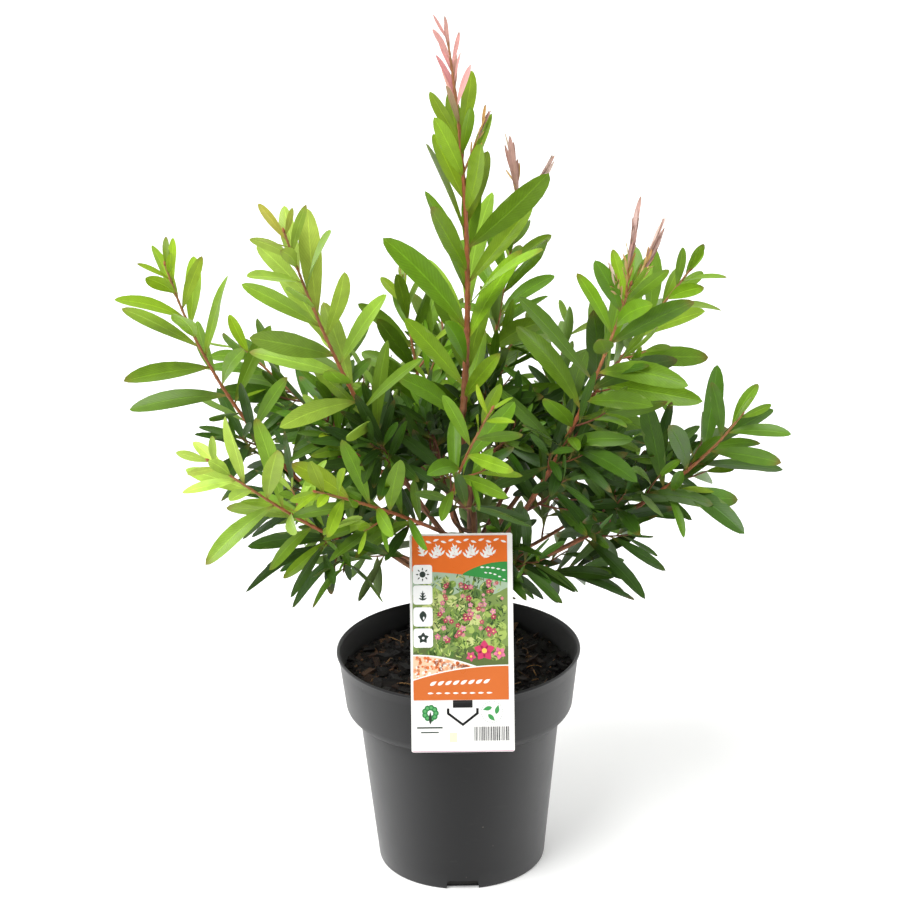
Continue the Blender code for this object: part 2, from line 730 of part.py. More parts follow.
def trunk_tube(name, curve, home, swell=0.0):
    """The trunk, with its root flare, from below the ground to its tip."""
    shares = np.linspace(0.0, 1.0, TRUNK_PIECES) ** TRUNK_CROWD
    points = bezier(curve, shares)
    points[-1] += swell * unit(points[-1] - points[-2])
    above = np.maximum(points[:, 2] - SOIL_LEVEL, 0.0)
    radii = TRUNK_RADIUS[0] + (TRUNK_RADIUS[1] - TRUNK_RADIUS[0]) * shares
    radii = radii + FLARE * np.exp(-above / FLARE_FADE)
    return tube(name, points, radii + swell, TRUNK_SIDES, home)


def build_trunk(curve, parts, cutters):
    """The trunk, cut flat where it leaves the ground."""
    trunk = trunk_tube("trunk", curve, parts)
    wide = 2 * SOIL_RINGS[0]
    box("ground_cut", (wide, wide, wide), (0.0, 0.0, SOIL_LEVEL + GAP - wide / 2), 0.0, cutters)
    return boolean(trunk, "DIFFERENCE", cutters)


def trim_at_parent(piece, limb, curves, cutters):
    """Cut away what lies inside the parent, leaving the clearance round it."""
    if limb.parent == "trunk":
        trunk_tube("parent_cut", curves["trunk"], cutters, swell=GAP)
    else:
        parent = next(other for other in LIMBS if other.name == limb.parent)
        last = parent.leafy if parent.bough else 1.0
        curve = curves[parent.name]
        limb_tube("parent_cut", curve, parent, 0.0, last, BOUGH_SIDES, cutters, swell=GAP)
    return boolean(piece, "DIFFERENCE", cutters)


def build_boughs(curves, parts, cutters):
    """The bare first stretch of each limb that has one."""
    boughs = []
    for limb in LIMBS:
        if limb.bough:
            bough = limb_tube(
                f"bough_{limb.name}", curves[limb.name], limb, 0.0, limb.leafy, BOUGH_SIDES, parts
            )
            boughs.append(trim_at_parent(bough, limb, curves, cutters))
    return boughs


def build_stems(curves, parts, cutters):
    """The stem of each mass: beyond its bough's tip, or from its parent's side."""
    stems = {}
    for limb in LIMBS:
        curve = curves[limb.name]
        first = share_after(curve, limb.leafy, GAP) if limb.bough else 0.0
        stem = limb_tube(f"mass_{limb.name}", curve, limb, first, 1.0, TWIG_SIDES, parts)
        stems[limb.name] = stem if limb.bough else trim_at_parent(stem, limb, curves, cutters)
    return stems


def twig_curve(line, limb, rng, k):
    """The curve of a mass's k-th twig: it leaves the stem sideways and turns up along it."""
    foot = (TWIG_FIRST + TWIG_RANGE * k / limb.twigs) * line[1][-1]
    root = along(line, foot)
    heading = unit(along(line, foot + 2.0) - root)
    face = unit(np.array((0.0, limb.face, FACE_UP)))
    near, aside = frame_of(heading, face)
    turn = math.radians(limb.phase + TWIG_TURN) + GOLDEN * (k + 0.5)
    turn += TWIG_TURN_SPREAD * rng.normal()
    out = math.cos(turn) * near + math.sin(turn) * aside
    away = unit(TWIG_HEADING[0] * heading + TWIG_HEADING[1] * out)
    length = limb.twig * (1.0 - TWIG_FADE * k) * math.exp(TWIG_SPREAD * rng.normal())
    tip = root + length * unit(away + TWIG_UP * heading)
    return root, root + 0.5 * length * away, tip


def limb_groups(limb, curves):
    """The leaves of a mass's stem, then the curve and the leaves of each of its twigs."""
    rng = np.random.default_rng(limb.seed)
    line = measured(curves[limb.name], limb.leafy, 1.0)
    girth = (stem_radius(limb, limb.leafy), TIP_RADIUS)
    stem = place_leaves(
        line, limb, rng, limb.leaf, limb.gap, BARE, limb.phase, limb.hand, girth
    )
    twigs = []
    for k in range(limb.twigs):
        curve = twig_curve(line, limb, rng, k)
        leaves = place_leaves(
            measured(curve, count=20), limb, rng, TWIG_LEAF * limb.leaf, TWIG_GAP * limb.gap,
            TWIG_BARE, limb.phase + 90.0 * k, -limb.hand, (TWIG_RADIUS, TWIG_TIP),
        )
        twigs.append((curve, leaves))
    return stem, twigs


def set_leaves(leaves, obstacles, kin):
    """The leaves that find room: each tries a few turns round its stem, or is left out."""
    placed = []
    for k in range(len(leaves["length"])):
        for swing in np.radians(TURNS):
            if touches(*leaf_solid(leaves, k, swing, CLEARANCE), obstacles):
                continue
            blade = leaf_solid(leaves, k, swing, blade_only=True)
            if not touches(*blade, kin):
                placed.append(leaf_solid(leaves, k, swing))
                kin.append(tree_of_leaves([blade]))
                break
    return placed


def tree_of_leaves(placed):
    """A search tree of several leaves."""
    points, faces = [], []
    for own_points, own_faces in placed:
        faces += [tuple(len(points) + i for i in face) for face in own_faces]
        points += [tuple(p) for p in own_points]
    return BVHTree.FromPolygons(points, faces, all_triangles=True)


def grow_masses(curves, stems, fixed, sprays):
    """Leaves on every stem first, then the twigs and their leaves, each clear of the rest."""
    groups = {limb.name: limb_groups(limb, curves) for limb in LIMBS}
    reach = {name: [tree_of(stem)] for name, stem in stems.items()}
    solids = {name: [] for name in stems}
    kin = {name: [] for name in stems}
    for limb in LIMBS:
        others = [tree for name in stems if name != limb.name for tree in reach[name]]
        placed = set_leaves(groups[limb.name][0], fixed + others, kin[limb.name])
        solids[limb.name] += placed
        reach[limb.name].append(tree_of_leaves(placed))
    masses = []
    for limb in LIMBS:
        others = [tree for name in stems if name != limb.name for tree in reach[name]]
        for curve, leaves in groups[limb.name][1]:
            shares = np.linspace(0.0, 1.0, 3)
            radii = TWIG_RADIUS + (TWIG_TIP - TWIG_RADIUS) * shares
            twig = tube("twig", bezier(curve, shares), radii, TWIG_SIDES, sprays)
            own = tree_of(twig)
            if any(own.overlap(tree) for tree in fixed + others):
                bpy.data.objects.remove(twig)
                continue
            placed = set_leaves(leaves, fixed + others, kin[limb.name])
            solids[limb.name] += placed
            reach[limb.name] += [own, tree_of_leaves(placed)]
        for points, faces in solids[limb.name]:
            mesh = bpy.data.meshes.new("leaf")
            mesh.from_pydata([tuple(p * MM) for p in points], [], faces)
            mesh_object("leaf", mesh, sprays)
        masses.append(boolean(stems[limb.name], "UNION", sprays))
    return masses


def main():
    """Build the pot, its mix and label, then the shrub from the trunk outwards."""
    for old in list(bpy.data.objects):
        bpy.data.objects.remove(old)
    parts = collection("bottlebrush")
    cutters = collection("cutters")
    sprays = collection("sprays")

    pot = build_pot(parts, cutters)
    mix = build_mix(parts)
    label = build_label(parts, cutters)
    curves = limb_curves()
    trunk = build_trunk(curves["trunk"], parts, cutters)
    boughs = build_boughs(curves, parts, cutters)
    stems = build_stems(curves, parts, cutters)

    fixed = [tree_of(piece) for piece in (pot, mix, label, trunk, *boughs)]
    masses = grow_masses(curves, stems, fixed, sprays)

    dress([pot], "moulded_polypropylene")
    dress([mix], "composted_bark")
    dress([label], "printed_polypropylene")
    dress([trunk, *boughs], "brown_bark")
    dress(masses, "leathery_leaf")
    for empty in (cutters, sprays):
        bpy.data.collections.remove(empty)


main()
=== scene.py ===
"""Dressed bottlebrush shrub in its nursery pot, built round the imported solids.

Lengths in the tables are millimetres and angles are degrees; MM turns a length to
metres when a mesh is made. +Z is up and the label faces -Y. The shrub's limbs, twigs and
leaves follow the same seeded rule as the solids that they replace.
"""
from __future__ import annotations

import json
import logging
import math
from dataclasses import dataclass, field, replace
from enum import Enum
from functools import partial
from typing import Callable

import bpy
import numpy as np
from mathutils import Euler, Matrix, Vector

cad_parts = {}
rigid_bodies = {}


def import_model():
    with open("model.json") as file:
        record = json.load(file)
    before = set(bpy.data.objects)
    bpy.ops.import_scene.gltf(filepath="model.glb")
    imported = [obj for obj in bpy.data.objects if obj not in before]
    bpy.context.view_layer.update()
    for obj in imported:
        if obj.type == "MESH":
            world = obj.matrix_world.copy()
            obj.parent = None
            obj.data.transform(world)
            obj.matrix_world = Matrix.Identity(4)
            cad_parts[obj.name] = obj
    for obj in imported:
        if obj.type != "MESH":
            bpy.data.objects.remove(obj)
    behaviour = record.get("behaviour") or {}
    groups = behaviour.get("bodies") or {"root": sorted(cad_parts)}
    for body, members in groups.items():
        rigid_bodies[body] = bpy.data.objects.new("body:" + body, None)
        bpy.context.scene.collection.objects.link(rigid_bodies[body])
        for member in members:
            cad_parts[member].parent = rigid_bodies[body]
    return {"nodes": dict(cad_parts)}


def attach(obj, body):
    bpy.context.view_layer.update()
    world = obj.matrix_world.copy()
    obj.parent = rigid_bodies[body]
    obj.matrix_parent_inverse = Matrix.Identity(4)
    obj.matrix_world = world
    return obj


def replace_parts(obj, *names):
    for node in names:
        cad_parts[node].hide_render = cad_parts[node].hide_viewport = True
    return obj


for leftover in list(bpy.data.objects):
    bpy.data.objects.remove(leftover)
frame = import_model()

LOG = logging.getLogger("bottlebrush")
MM = 0.001
GOLDEN = math.radians(137.508)
DOWN = np.array((0.0, 0.0, -1.0))
BODY = "root"

Array = np.ndarray
Draws = np.random.Generator
Pair = tuple[float, float]
Point = tuple[float, float, float]
Curve = tuple[Array, Array, Array]  # start, bend and tip
Colour = tuple[float, float, float, float]


# ---------------------------------------------------------------- colours and numbers

def linear(code: str) -> Array:
    """Turn an sRGB colour, "#rrggbb", to three values of linear light.

    Formula: c / 12.92 below 0.04045, otherwise ((c + 0.055) / 1.055) to the power 2.4.
    """
    srgb = np.array([int(code[k:k + 2], 16) for k in (1, 3, 5)]) / 255.0
    return np.where(srgb <= 0.04045, srgb / 12.92, ((srgb + 0.055) / 1.055) ** 2.4)


def rgba(code: str) -> Colour:
    """Linear colour with full alpha, for a shader socket."""
    return (*(float(v) for v in linear(code)), 1.0)


def unit(v: Array) -> Array:
    """Scale vectors to length 1."""
    return v / np.maximum(np.linalg.norm(v, axis=-1, keepdims=True), 1e-9)


def dot(a: Array, b: Array) -> Array:
    """Dot products along the last axis, kept as a column."""
    return np.sum(a * b, axis=-1, keepdims=True)


def smooth(value: Array, low: float, high: float) -> Array:
    """Smooth step: 0 below low, 1 above high, and 3t^2 - 2t^3 between."""
    t = np.clip((value - low) / (high - low), 0.0, 1.0)
    return t * t * (3.0 - 2.0 * t)


def blend(value: Array, marks: Array | tuple[float, ...], codes: tuple[str, ...]) -> Array:
    """Linear colours, (n, 3), of values between rising marks that each have a hex colour."""
    table = np.stack([linear(code) for code in codes])
    return np.stack([np.interp(value, marks, table[:, k]) for k in range(3)], -1)


def around(x: float, y: float, reach: float, angle: float) -> Pair:
    """The point at a distance from another, at an angle in degrees."""
    turn = math.radians(angle)
    return x + reach * math.cos(turn), y + reach * math.sin(turn)


@dataclass(frozen=True)
class Ripple:
    """Smooth unevenness: a sum of sine waves in seeded directions, each finer and weaker."""

    wavelength: float  # Length of the longest wave, in the points' units
    seed: int
    octaves: int = 3  # Number of halvings of the wavelength
    waves: int = 7
    spread: Pair = (0.75, 1.35)  # Range of each wave's own factor

    def at(self, points: Array) -> Array:
        """Height of the ripple, about -1 to 1, at points whose last axis holds the coordinates.

        Formula: the sum over octaves k of 2^-k times the mean of sin(q . p + phase), with
        |q| = 2 pi 2^k / wavelength.
        """
        rng = np.random.default_rng(self.seed)
        total = np.zeros(points.shape[:-1])
        for octave in range(self.octaves):
            q = unit(rng.normal(size=(self.waves, points.shape[-1])))
            q *= (2.0 * math.pi * 2.0**octave / self.wavelength) * rng.uniform(*self.spread, (self.waves, 1))
            phase = rng.uniform(0.0, 2.0 * math.pi, self.waves)
            total += np.sin(points @ q.T + phase).sum(-1) * 2.0**-octave
        return total / math.sqrt(2.0 * self.waves)


# ---------------------------------------------------------------- meshes

@dataclass
class Skin:
    """Vertices and faces of one piece, gathered from several surfaces."""

    points: list[Array] = field(default_factory=list)  # Vertex arrays, in millimetres
    tints: list[Array] = field(default_factory=list)  # Linear colour of each vertex
    unders: list[Array] = field(default_factory=list)  # 1 on a leaf's lower side, otherwise 0
    maps: list[Array] = field(default_factory=list)  # Pattern coordinates of each vertex
    quads: list[Array] = field(default_factory=list)
    triangles: list[Array] = field(default_factory=list)
    count: int = 0

    def add(
        self, points: Array, quads: Array, triangles: Array | None = None, tint: Array | None = None,
        under: Array | None = None, uv: Array | None = None,
    ) -> None:
        """Add a surface.

        Args:
            points: Vertices, (n, 3), in millimetres.
            quads: Faces with four corners, numbered from this surface's first vertex.
            triangles: Faces with three corners, numbered alike.
            tint: Linear colours, (n, 3) or (3,).
            under: Share of lower side, (n,).
            uv: Pattern coordinates, (n, 2).
        """
        count = len(points)
        self.points.append(points)
        self.tints.append(np.broadcast_to(np.ones(3) if tint is None else tint, (count, 3)))
        self.unders.append(np.zeros(count) if under is None else under)
        self.maps.append(np.zeros((count, 2)) if uv is None else uv)
        self.quads.append(np.asarray(quads, int).reshape(-1, 4) + self.count)
        if triangles is not None:
            self.triangles.append(np.asarray(triangles, int).reshape(-1, 3) + self.count)
        self.count += count

    def close(self, rings: Array, poles: Array, **dress: Array) -> None:
        """Add a body of rings that closes at one pole behind the first and one past the last.

        Args:
            rings: Vertices, (rows, columns, 3), anticlockwise round the rings' heading.
            poles: The two poles, (2, 3).
            **dress: Colours and coordinates of the rings' vertices and then the poles, as in add.
        """
        rows, columns = rings.shape[:2]
        ring = np.arange(columns)
        following, last = np.roll(ring, -1), (rows - 1) * columns
        pole = np.full(columns, rows * columns)
        caps = np.concatenate([
            np.stack([following, ring, pole], -1), np.stack([ring + last, following + last, pole + 1], -1)
        ])
        self.add(np.concatenate([rings.reshape(-1, 3), poles]), grid_quads(rows, columns), caps, **dress)

    def join(self, other: "Skin") -> None:
        """Add all the surfaces of another skin."""
        for mine, theirs in (
            (self.points, other.points), (self.tints, other.tints),
            (self.unders, other.unders), (self.maps, other.maps),
        ):
            mine.extend(theirs)
        self.quads.extend(faces + self.count for faces in other.quads)
        self.triangles.extend(faces + self.count for faces in other.triangles)
        self.count += other.count

    def build(self, name: str, material: bpy.types.Material, smooth_shade: bool = True) -> bpy.types.Object:
        """Make the piece's object, at the origin and in metres.

        Args:
            name: Name of the piece.
            material: Its material.
            smooth_shade: Whether faces blend into each other.

        Returns:
            The new object, which rides on the part's body.
        """
        quads = np.concatenate(self.quads) if self.quads else np.zeros((0, 4), int)
        triangles = np.concatenate(self.triangles) if self.triangles else np.zeros((0, 3), int)
        corners = np.concatenate([quads.ravel(), triangles.ravel()]).astype(np.int32)
        starts = np.concatenate(
            [4 * np.arange(len(quads)), 4 * len(quads) + 3 * np.arange(len(triangles))]
        ).astype(np.int32)
        mesh = bpy.data.meshes.new(name)
        mesh.vertices.add(self.count)
        mesh.vertices.foreach_set("co", (np.concatenate(self.points) * MM).astype(np.float32).ravel())
        mesh.loops.add(len(corners))
        mesh.loops.foreach_set("vertex_index", corners)
        mesh.polygons.add(len(starts))
        mesh.polygons.foreach_set("loop_start", starts)
        mesh.polygons.foreach_set("use_smooth", np.full(len(starts), smooth_shade))
        mesh.update(calc_edges=True)
        tint = np.concatenate([np.concatenate(self.tints), np.ones((self.count, 1))], 1)
        mesh.attributes.new("tint", "FLOAT_COLOR", "POINT").data.foreach_set(
            "color", tint.astype(np.float32).ravel()
        )
        mesh.attributes.new("under", "FLOAT", "POINT").data.foreach_set(
            "value", np.concatenate(self.unders).astype(np.float32)
        )
        mesh.uv_layers.new(name="UVMap").data.foreach_set(
            "uv", np.concatenate(self.maps)[corners].astype(np.float32).ravel()
        )
        mesh.materials.append(material)
        made = bpy.data.objects.new(name, mesh)
        bpy.context.scene.collection.objects.link(made)
        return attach(made, BODY)


def grid_quads(rows: int, columns: int) -> Array:
    """Faces, (n, 4), of rings of vertices that are numbered ring by ring.

    They face outwards where a ring runs anticlockwise round its heading.
    """
    row = np.arange(rows - 1)[:, None] * columns
    column = np.arange(columns)[None, :]
    following = (column + 1) % columns
    corners = row + column, row + following, row + columns + following, row + columns + column
    return np.stack(corners, -1).reshape(-1, 4)


def turned(profile: Array, sides: int) -> Array:
    """Rings round the Z axis, (rows, sides, 3), from a profile of radii and heights, (rows, 2)."""
    angle = 2.0 * math.pi * np.arange(sides) / sides
    radius, height = profile[:, :1], profile[:, 1:]
    return np.stack(np.broadcast_arrays(radius * np.cos(angle), radius * np.sin(angle), height), -1)


def triangle_count(piece: bpy.types.Object) -> int:
    """Number of triangles in a piece's mesh."""
    return sum(len(p.vertices) - 2 for p in piece.data.polygons)


# ---------------------------------------------------------------- finishes

def node(
    tree: bpy.types.NodeTree, kind: str | bpy.types.Node, inputs: dict | None = None, **settings: object
) -> bpy.types.Node:
    """Add a shader node with its settings and links, or set those of one that is there.

    Args:
        tree: Node tree to add it to.
        kind: Blender's name for the node after "ShaderNode", or the node itself.
        inputs: Values, output sockets or nodes whose first output counts, by the name or
            number of the input that they go to.
        **settings: Properties of the node.

    Returns:
        The node.
    """
    made = tree.nodes.new("ShaderNode" + kind) if isinstance(kind, str) else kind
    for key, value in settings.items():
        setattr(made, key, value)
    for key, value in (inputs or {}).items():
        source = value.outputs[0] if isinstance(value, bpy.types.Node) else value
        if isinstance(source, bpy.types.NodeSocket):
            tree.links.new(source, made.inputs[key])
        else:
            made.inputs[key].default_value = source
    return made


def new_material(name: str) -> tuple[bpy.types.Material, Callable[..., bpy.types.Node]]:
    """A node material, named for the real one and how its surface was made, and its node()."""
    made = bpy.data.materials.new(name)
    made.use_nodes = True
    return made, partial(node, made.node_tree)


def surface(material: bpy.types.Material, inputs: dict) -> bpy.types.Material:
    """Set and link the inputs of a material's Principled shader; returns the material."""
    node(material.node_tree, material.node_tree.nodes["Principled BSDF"], inputs)
    return material


@dataclass(frozen=True)
class LeafBlade:
    """Leathery evergreen leaf: a waxy upper side with a sunk midrib, a paler dull lower side."""

    roughness: float = 0.40  # Of the upper side
    dull: float = 0.20  # Added on the lower side
    rib: float = 0.34  # How much lighter the midrib is
    # Half of the midrib's width, and of its soft edge's, as shares of the blade's
    rib_width: Pair = (0.012, 0.05)
    vein: float = 0.055  # How much lighter a side vein is
    vein_gap: float = 1 / 22  # Distance between side veins as a share of the blade; drawn coarser than real
    vein_lean: float = 0.368  # How far the side veins lean forwards
    mottle: float = 0.50  # Spread of brightness between patches
    patch: float = 9.0  # Size of a patch, in millimetres
    pale: str = "#8fa35c"  # Colour that the lower side leans to
    paler: float = 0.30  # How far it leans
    gloss: float = 0.34  # Specular level of the wax
    relief: float = 0.3  # Depth of the midrib, in millimetres

    def material(self) -> bpy.types.Material:
        """Build the material; colour comes from the attribute tint, the rest from the leaf's map."""
        made, add = new_material("waxy_leathery_leaf")
        place = add("TexCoord").outputs["Object"]
        uv = add("SeparateXYZ", {0: add("UVMap", uv_map="UVMap")})
        tint = add("Attribute", attribute_name="tint")
        under = add("Attribute", attribute_name="under").outputs["Fac"]
        offset = add("Math", {0: uv, 1: 0.5}, operation="SUBTRACT")
        across = add("Math", {0: offset}, operation="ABSOLUTE")
        inner, outer = self.rib_width
        rib = add(
            "MapRange",
            {"Value": across, "From Min": inner, "From Max": outer, "To Min": 1.0, "To Max": 0.0},
            interpolation_type="SMOOTHSTEP",
        )
        # Side veins leave the midrib forwards: their phase rises along the leaf and falls outwards
        turns = 2.0 * math.pi / self.vein_gap
        rising = add("Math", {0: uv.outputs[1], 1: turns}, operation="MULTIPLY")
        phase = add("Math", {0: across, 1: -self.vein_lean * turns, 2: rising}, operation="MULTIPLY_ADD")
        vein = add("Math", {0: phase}, operation="SINE")
        patches = add("TexNoise", {"Vector": place, "Scale": 1.0 / (self.patch * MM), "Detail": 3.0})
        even = 1.0 - 0.5 * self.mottle
        value = add("Math", {0: patches, 1: self.mottle, 2: even}, operation="MULTIPLY_ADD")
        ribbed = add("Math", {0: rib, 1: self.rib, 2: value}, operation="MULTIPLY_ADD")
        veined = add("Math", {0: vein, 1: self.vein, 2: ribbed}, operation="MULTIPLY_ADD")
        lit = add("VectorMath", {0: tint, "Scale": veined}, operation="SCALE")
        share = add("Math", {0: under, 1: self.paler}, operation="MULTIPLY")
        colour = add("Mix", {0: share, 6: lit, 7: rgba(self.pale)}, data_type="RGBA")
        waxy = add("Math", {0: patches, 1: 0.14, 2: self.roughness - 0.07}, operation="MULTIPLY_ADD")
        rough = add("Math", {0: under, 1: self.dull, 2: waxy}, operation="MULTIPLY_ADD")
        low_vein = add("Math", {0: vein, 1: 0.10}, operation="MULTIPLY")
        height = add("Math", {0: rib, 1: -1.0, 2: low_vein}, operation="MULTIPLY_ADD")
        bump = add("Bump", {"Height": height, "Distance": self.relief * MM, "Strength": 0.6})
        return surface(made, {
            "Base Color": colour.outputs[2], "Roughness": rough, "Normal": bump, "IOR": 1.44,
            "Specular IOR Level": self.gloss,
        })


@dataclass(frozen=True)
class Bark:
    """Thin fibrous bark: brown strips that peel lengthwise over a darker skin."""

    name: str = "fibrous_bark"
    dark: str = "#3a2114"  # Colour of the gaps between the strips
    strip: float = 1.3  # Width of a strip, in millimetres
    run: float = 14.0
    contrast: float = 0.75  # How dark the gaps are
    roughness: float = 0.72

    def material(self) -> bpy.types.Material:
        """Build the material; its map is millimetres round and along the limb."""
        made, add = new_material(self.name)
        tint = add("Attribute", attribute_name="tint")
        stretched = add("Mapping", {
            "Vector": add("UVMap", uv_map="UVMap"), "Scale": (1.0 / self.strip, 1.0 / self.run, 1.0),
        })
        strips = add(
            "TexNoise", {"Vector": stretched, "Scale": 1.0, "Detail": 4.0, "Roughness": 0.6},
            noise_dimensions="2D",
        )
        gaps = add(
            "MapRange",
            {"Value": strips, "From Min": 0.36, "From Max": 0.56, "To Min": self.contrast, "To Max": 0.0},
            interpolation_type="SMOOTHSTEP",
        )
        colour = add("Mix", {0: gaps, 6: tint, 7: rgba(self.dark)}, data_type="RGBA")
        rough = add("Math", {0: strips, 1: 0.3, 2: self.roughness - 0.15}, operation="MULTIPLY_ADD")
        bump = add("Bump", {"Height": strips, "Distance": 0.6 * MM, "Strength": 0.8})
        return surface(made, {"Base Color": colour.outputs[2], "Roughness": rough, "Normal": bump})


@dataclass(frozen=True)
class MouldedPolypropylene:
    """Dark grey polypropylene with a satin moulded grain, scuffed, and with a painted sheen at a glancing
    view.
    """

    colour: str = "#0c0c0e"
    scuff: str = "#272726"
    sheen_colour: str = "#848485"  # Colour of the painted sheen towards the outline, which stands in for a reflection of the room
    sheen: float = 0.56  # Share of the painted sheen at the outline
    dust: str = "#8d8478"  # Colour of the single specks
    grain: float = 0.9  # Size of the moulded grain, in millimetres; drawn coarser than real to show
    roughness: float = 0.42
    gloss: float = 0.27  # Specular level of a side that faces out or up
    shaded_underside: float = 0.22  # Share of painted sheen and of gloss on a side that faces down; what is lost there is painted shade
    collar_shade: float = 0.80  # Share of painted sheen on the collar; the rest is painted shade that darkens the collar
    collar: Pair = (0.130, 0.146)  # Heights between which the painted sheen thins, in metres

    def sheen_share(self, add: Callable, place: bpy.types.NodeSocket) -> tuple[bpy.types.Node, ...]:
        """Nodes that give the share of painted sheen at a place, and its specular level."""
        # Painted shade: a side that faces down keeps little of the painted sheen and of the gloss, so the
        # step's edge stays dark
        normal = add("SeparateXYZ", {0: add("NewGeometry").outputs["Normal"]})
        facing_up = add("MapRange", {
            "Value": normal.outputs[2], "From Min": -0.8, "From Max": -0.16, "To Min": self.shaded_underside,
        })
        gloss = add("Math", {0: facing_up, 1: self.gloss}, operation="MULTIPLY")
        # Painted sheen: the colour grows lighter towards the outline, in place of the room's reflection
        facing = add("LayerWeight", {"Blend": 0.5}).outputs["Facing"]
        glancing = add("MapRange", {"Value": facing, "From Min": 0.10, "To Max": self.sheen})
        # Painted shade on the collar: the painted sheen thins above the step
        low, high = self.collar
        collar_shading = add("MapRange", {
            "Value": add("SeparateXYZ", {0: place}).outputs[2], "From Min": low, "From Max": high,
            "To Min": 1.0, "To Max": self.collar_shade,
        })
        kept = add("Math", {0: facing_up, 1: collar_shading}, operation="MULTIPLY")
        return add("Math", {0: glancing, 1: kept}, operation="MULTIPLY"), gloss

    def material(self) -> bpy.types.Material:
        """Build the material on Object coordinates."""
        made, add = new_material("moulded_polypropylene")
        place = add("TexCoord").outputs["Object"]
        grain = add("TexNoise", {"Vector": place, "Scale": 1.0 / (self.grain * MM), "Detail": 2.0})
        cloud = add("TexNoise", {"Vector": place, "Scale": 22.0, "Detail": 4.0, "Roughness": 0.6})
        # Scuffs run sideways: the pattern is squeezed along Z
        flat = add("Mapping", {"Vector": place, "Scale": (38.0, 38.0, 150.0)})
        rubbed = add("TexNoise", {"Vector": flat, "Scale": 1.0, "Detail": 6.0, "Roughness": 0.7})
        marks = add("MapRange", {"Value": rubbed, "From Min": 0.60, "From Max": 0.72, "To Max": 0.45})
        worn = add("Mix", {0: marks, 6: rgba(self.colour), 7: rgba(self.scuff)}, data_type="RGBA")
        sheen, gloss = self.sheen_share(add, place)
        # The painted sheen is mixed over the scuffed plastic
        sheened = add("Mix", {0: sheen, 6: worn.outputs[2], 7: rgba(self.sheen_colour)}, data_type="RGBA")
        # Specks lie in a few dusty clouds only
        specks = add("TexVoronoi", {"Vector": place, "Scale": 95.0}, feature="F1")
        dust = add("MapRange", {
            "Value": specks, "From Min": 0.05, "From Max": 0.085, "To Min": 0.5, "To Max": 0.0,
        })
        clouds = add("MapRange", {"Value": cloud, "From Min": 0.56, "From Max": 0.64})
        few = add("Math", {0: dust, 1: clouds}, operation="MULTIPLY")
        dusty = add("Mix", {0: few, 6: sheened.outputs[2], 7: rgba(self.dust)}, data_type="RGBA")
        scuffed = add("Math", {0: marks, 1: 0.4, 2: self.roughness - 0.11}, operation="MULTIPLY_ADD")
        rough = add("Math", {0: cloud, 1: 0.22, 2: scuffed}, operation="MULTIPLY_ADD")
        bump = add("Bump", {"Height": grain, "Distance": 0.08 * MM, "Strength": 0.5})
        return surface(made, {
            "Base Color": dusty.outputs[2], "Roughness": rough, "Normal": bump,
            "Specular IOR Level": gloss, "IOR": 1.49,
        })


@dataclass(frozen=True)
class CompostedBark:
    """Damp composted bark: near-black crumbs with brown fibres, dull all over."""

    crumb: float = 1.6  # Size of a crumb, in millimetres
    low: str = "#080706"  # Colour between the crumbs
    roughness: float = 0.86
    name: str = "damp_composted_bark"

    def material(self) -> bpy.types.Material:
        """Build the material; the crumbs' colour comes from the attribute tint."""
        made, add = new_material(self.name)
        place = add("TexCoord").outputs["Object"]
        crumbs = add("TexNoise", {
            "Vector": place, "Scale": 1.0 / (self.crumb * MM), "Detail": 5.0, "Roughness": 0.65,
        })
        shade = add("MapRange", {"Value": crumbs, "From Min": 0.38, "From Max": 0.62})
        tint = add("Attribute", attribute_name="tint")
        colour = add("Mix", {0: shade, 6: rgba(self.low), 7: tint}, data_type="RGBA")
        bump = add("Bump", {"Height": crumbs, "Distance": 1.2 * MM, "Strength": 1.0})
        return surface(made, {"Base Color": colour.outputs[2], "Normal": bump, "Roughness": self.roughness})


@dataclass(frozen=True)
class PrintedCard:
    """White polypropylene card or the ink on it: smooth, with a faint sheet texture."""

    name: str = "extruded_polypropylene_card"
    colour: str = "#f2f1ee"  # Plain colour, or none where the attribute tint gives it
    roughness: float = 0.34

    def material(self) -> bpy.types.Material:
        """Build the material on Object coordinates."""
        made, add = new_material(self.name)
        place = add("TexCoord").outputs["Object"]
        cloud = add("TexNoise", {"Vector": place, "Scale": 60.0, "Detail": 3.0})
        tint = rgba(self.colour)[:3] if self.colour else add("Attribute", attribute_name="tint")
        value = add("Math", {0: cloud, 1: 0.08, 2: 0.96}, operation="MULTIPLY_ADD")
        colour = add("VectorMath", {0: tint, "Scale": value}, operation="SCALE")
        rough = add("Math", {0: cloud, 1: 0.16, 2: self.roughness - 0.08}, operation="MULTIPLY_ADD")
        return surface(made, {"Base Color": colour, "Roughness": rough, "IOR": 1.49})


@dataclass(frozen=True)
class StudioFloor:
    """Seamless matt studio floor."""

    colour: str = "#f4f4f3"
    glow: float = 0.2  # Light that the paper gives by itself

    def material(self) -> bpy.types.Material:
        """Build the material: paper with a faint unevenness."""
        made, add = new_material("matt_background_paper")
        place = add("TexCoord").outputs["Object"]
        cloud = add("TexNoise", {"Vector": place, "Scale": 3.0})
        value = add("Math", {0: cloud, 1: 0.02, 2: 0.99}, operation="MULTIPLY_ADD")
        colour = add("VectorMath", {0: rgba(self.colour)[:3], "Scale": value}, operation="SCALE")
        # A little light of its own keeps the paper near white inside the plant's soft shadow
        return surface(made, {
            "Base Color": colour, "Roughness": 0.9, "Specular IOR Level": 0.15,
            "Emission Color": (1.0, 1.0, 1.0, 1.0), "Emission Strength": self.glow,
        })


# ---------------------------------------------------------------- the growth rule

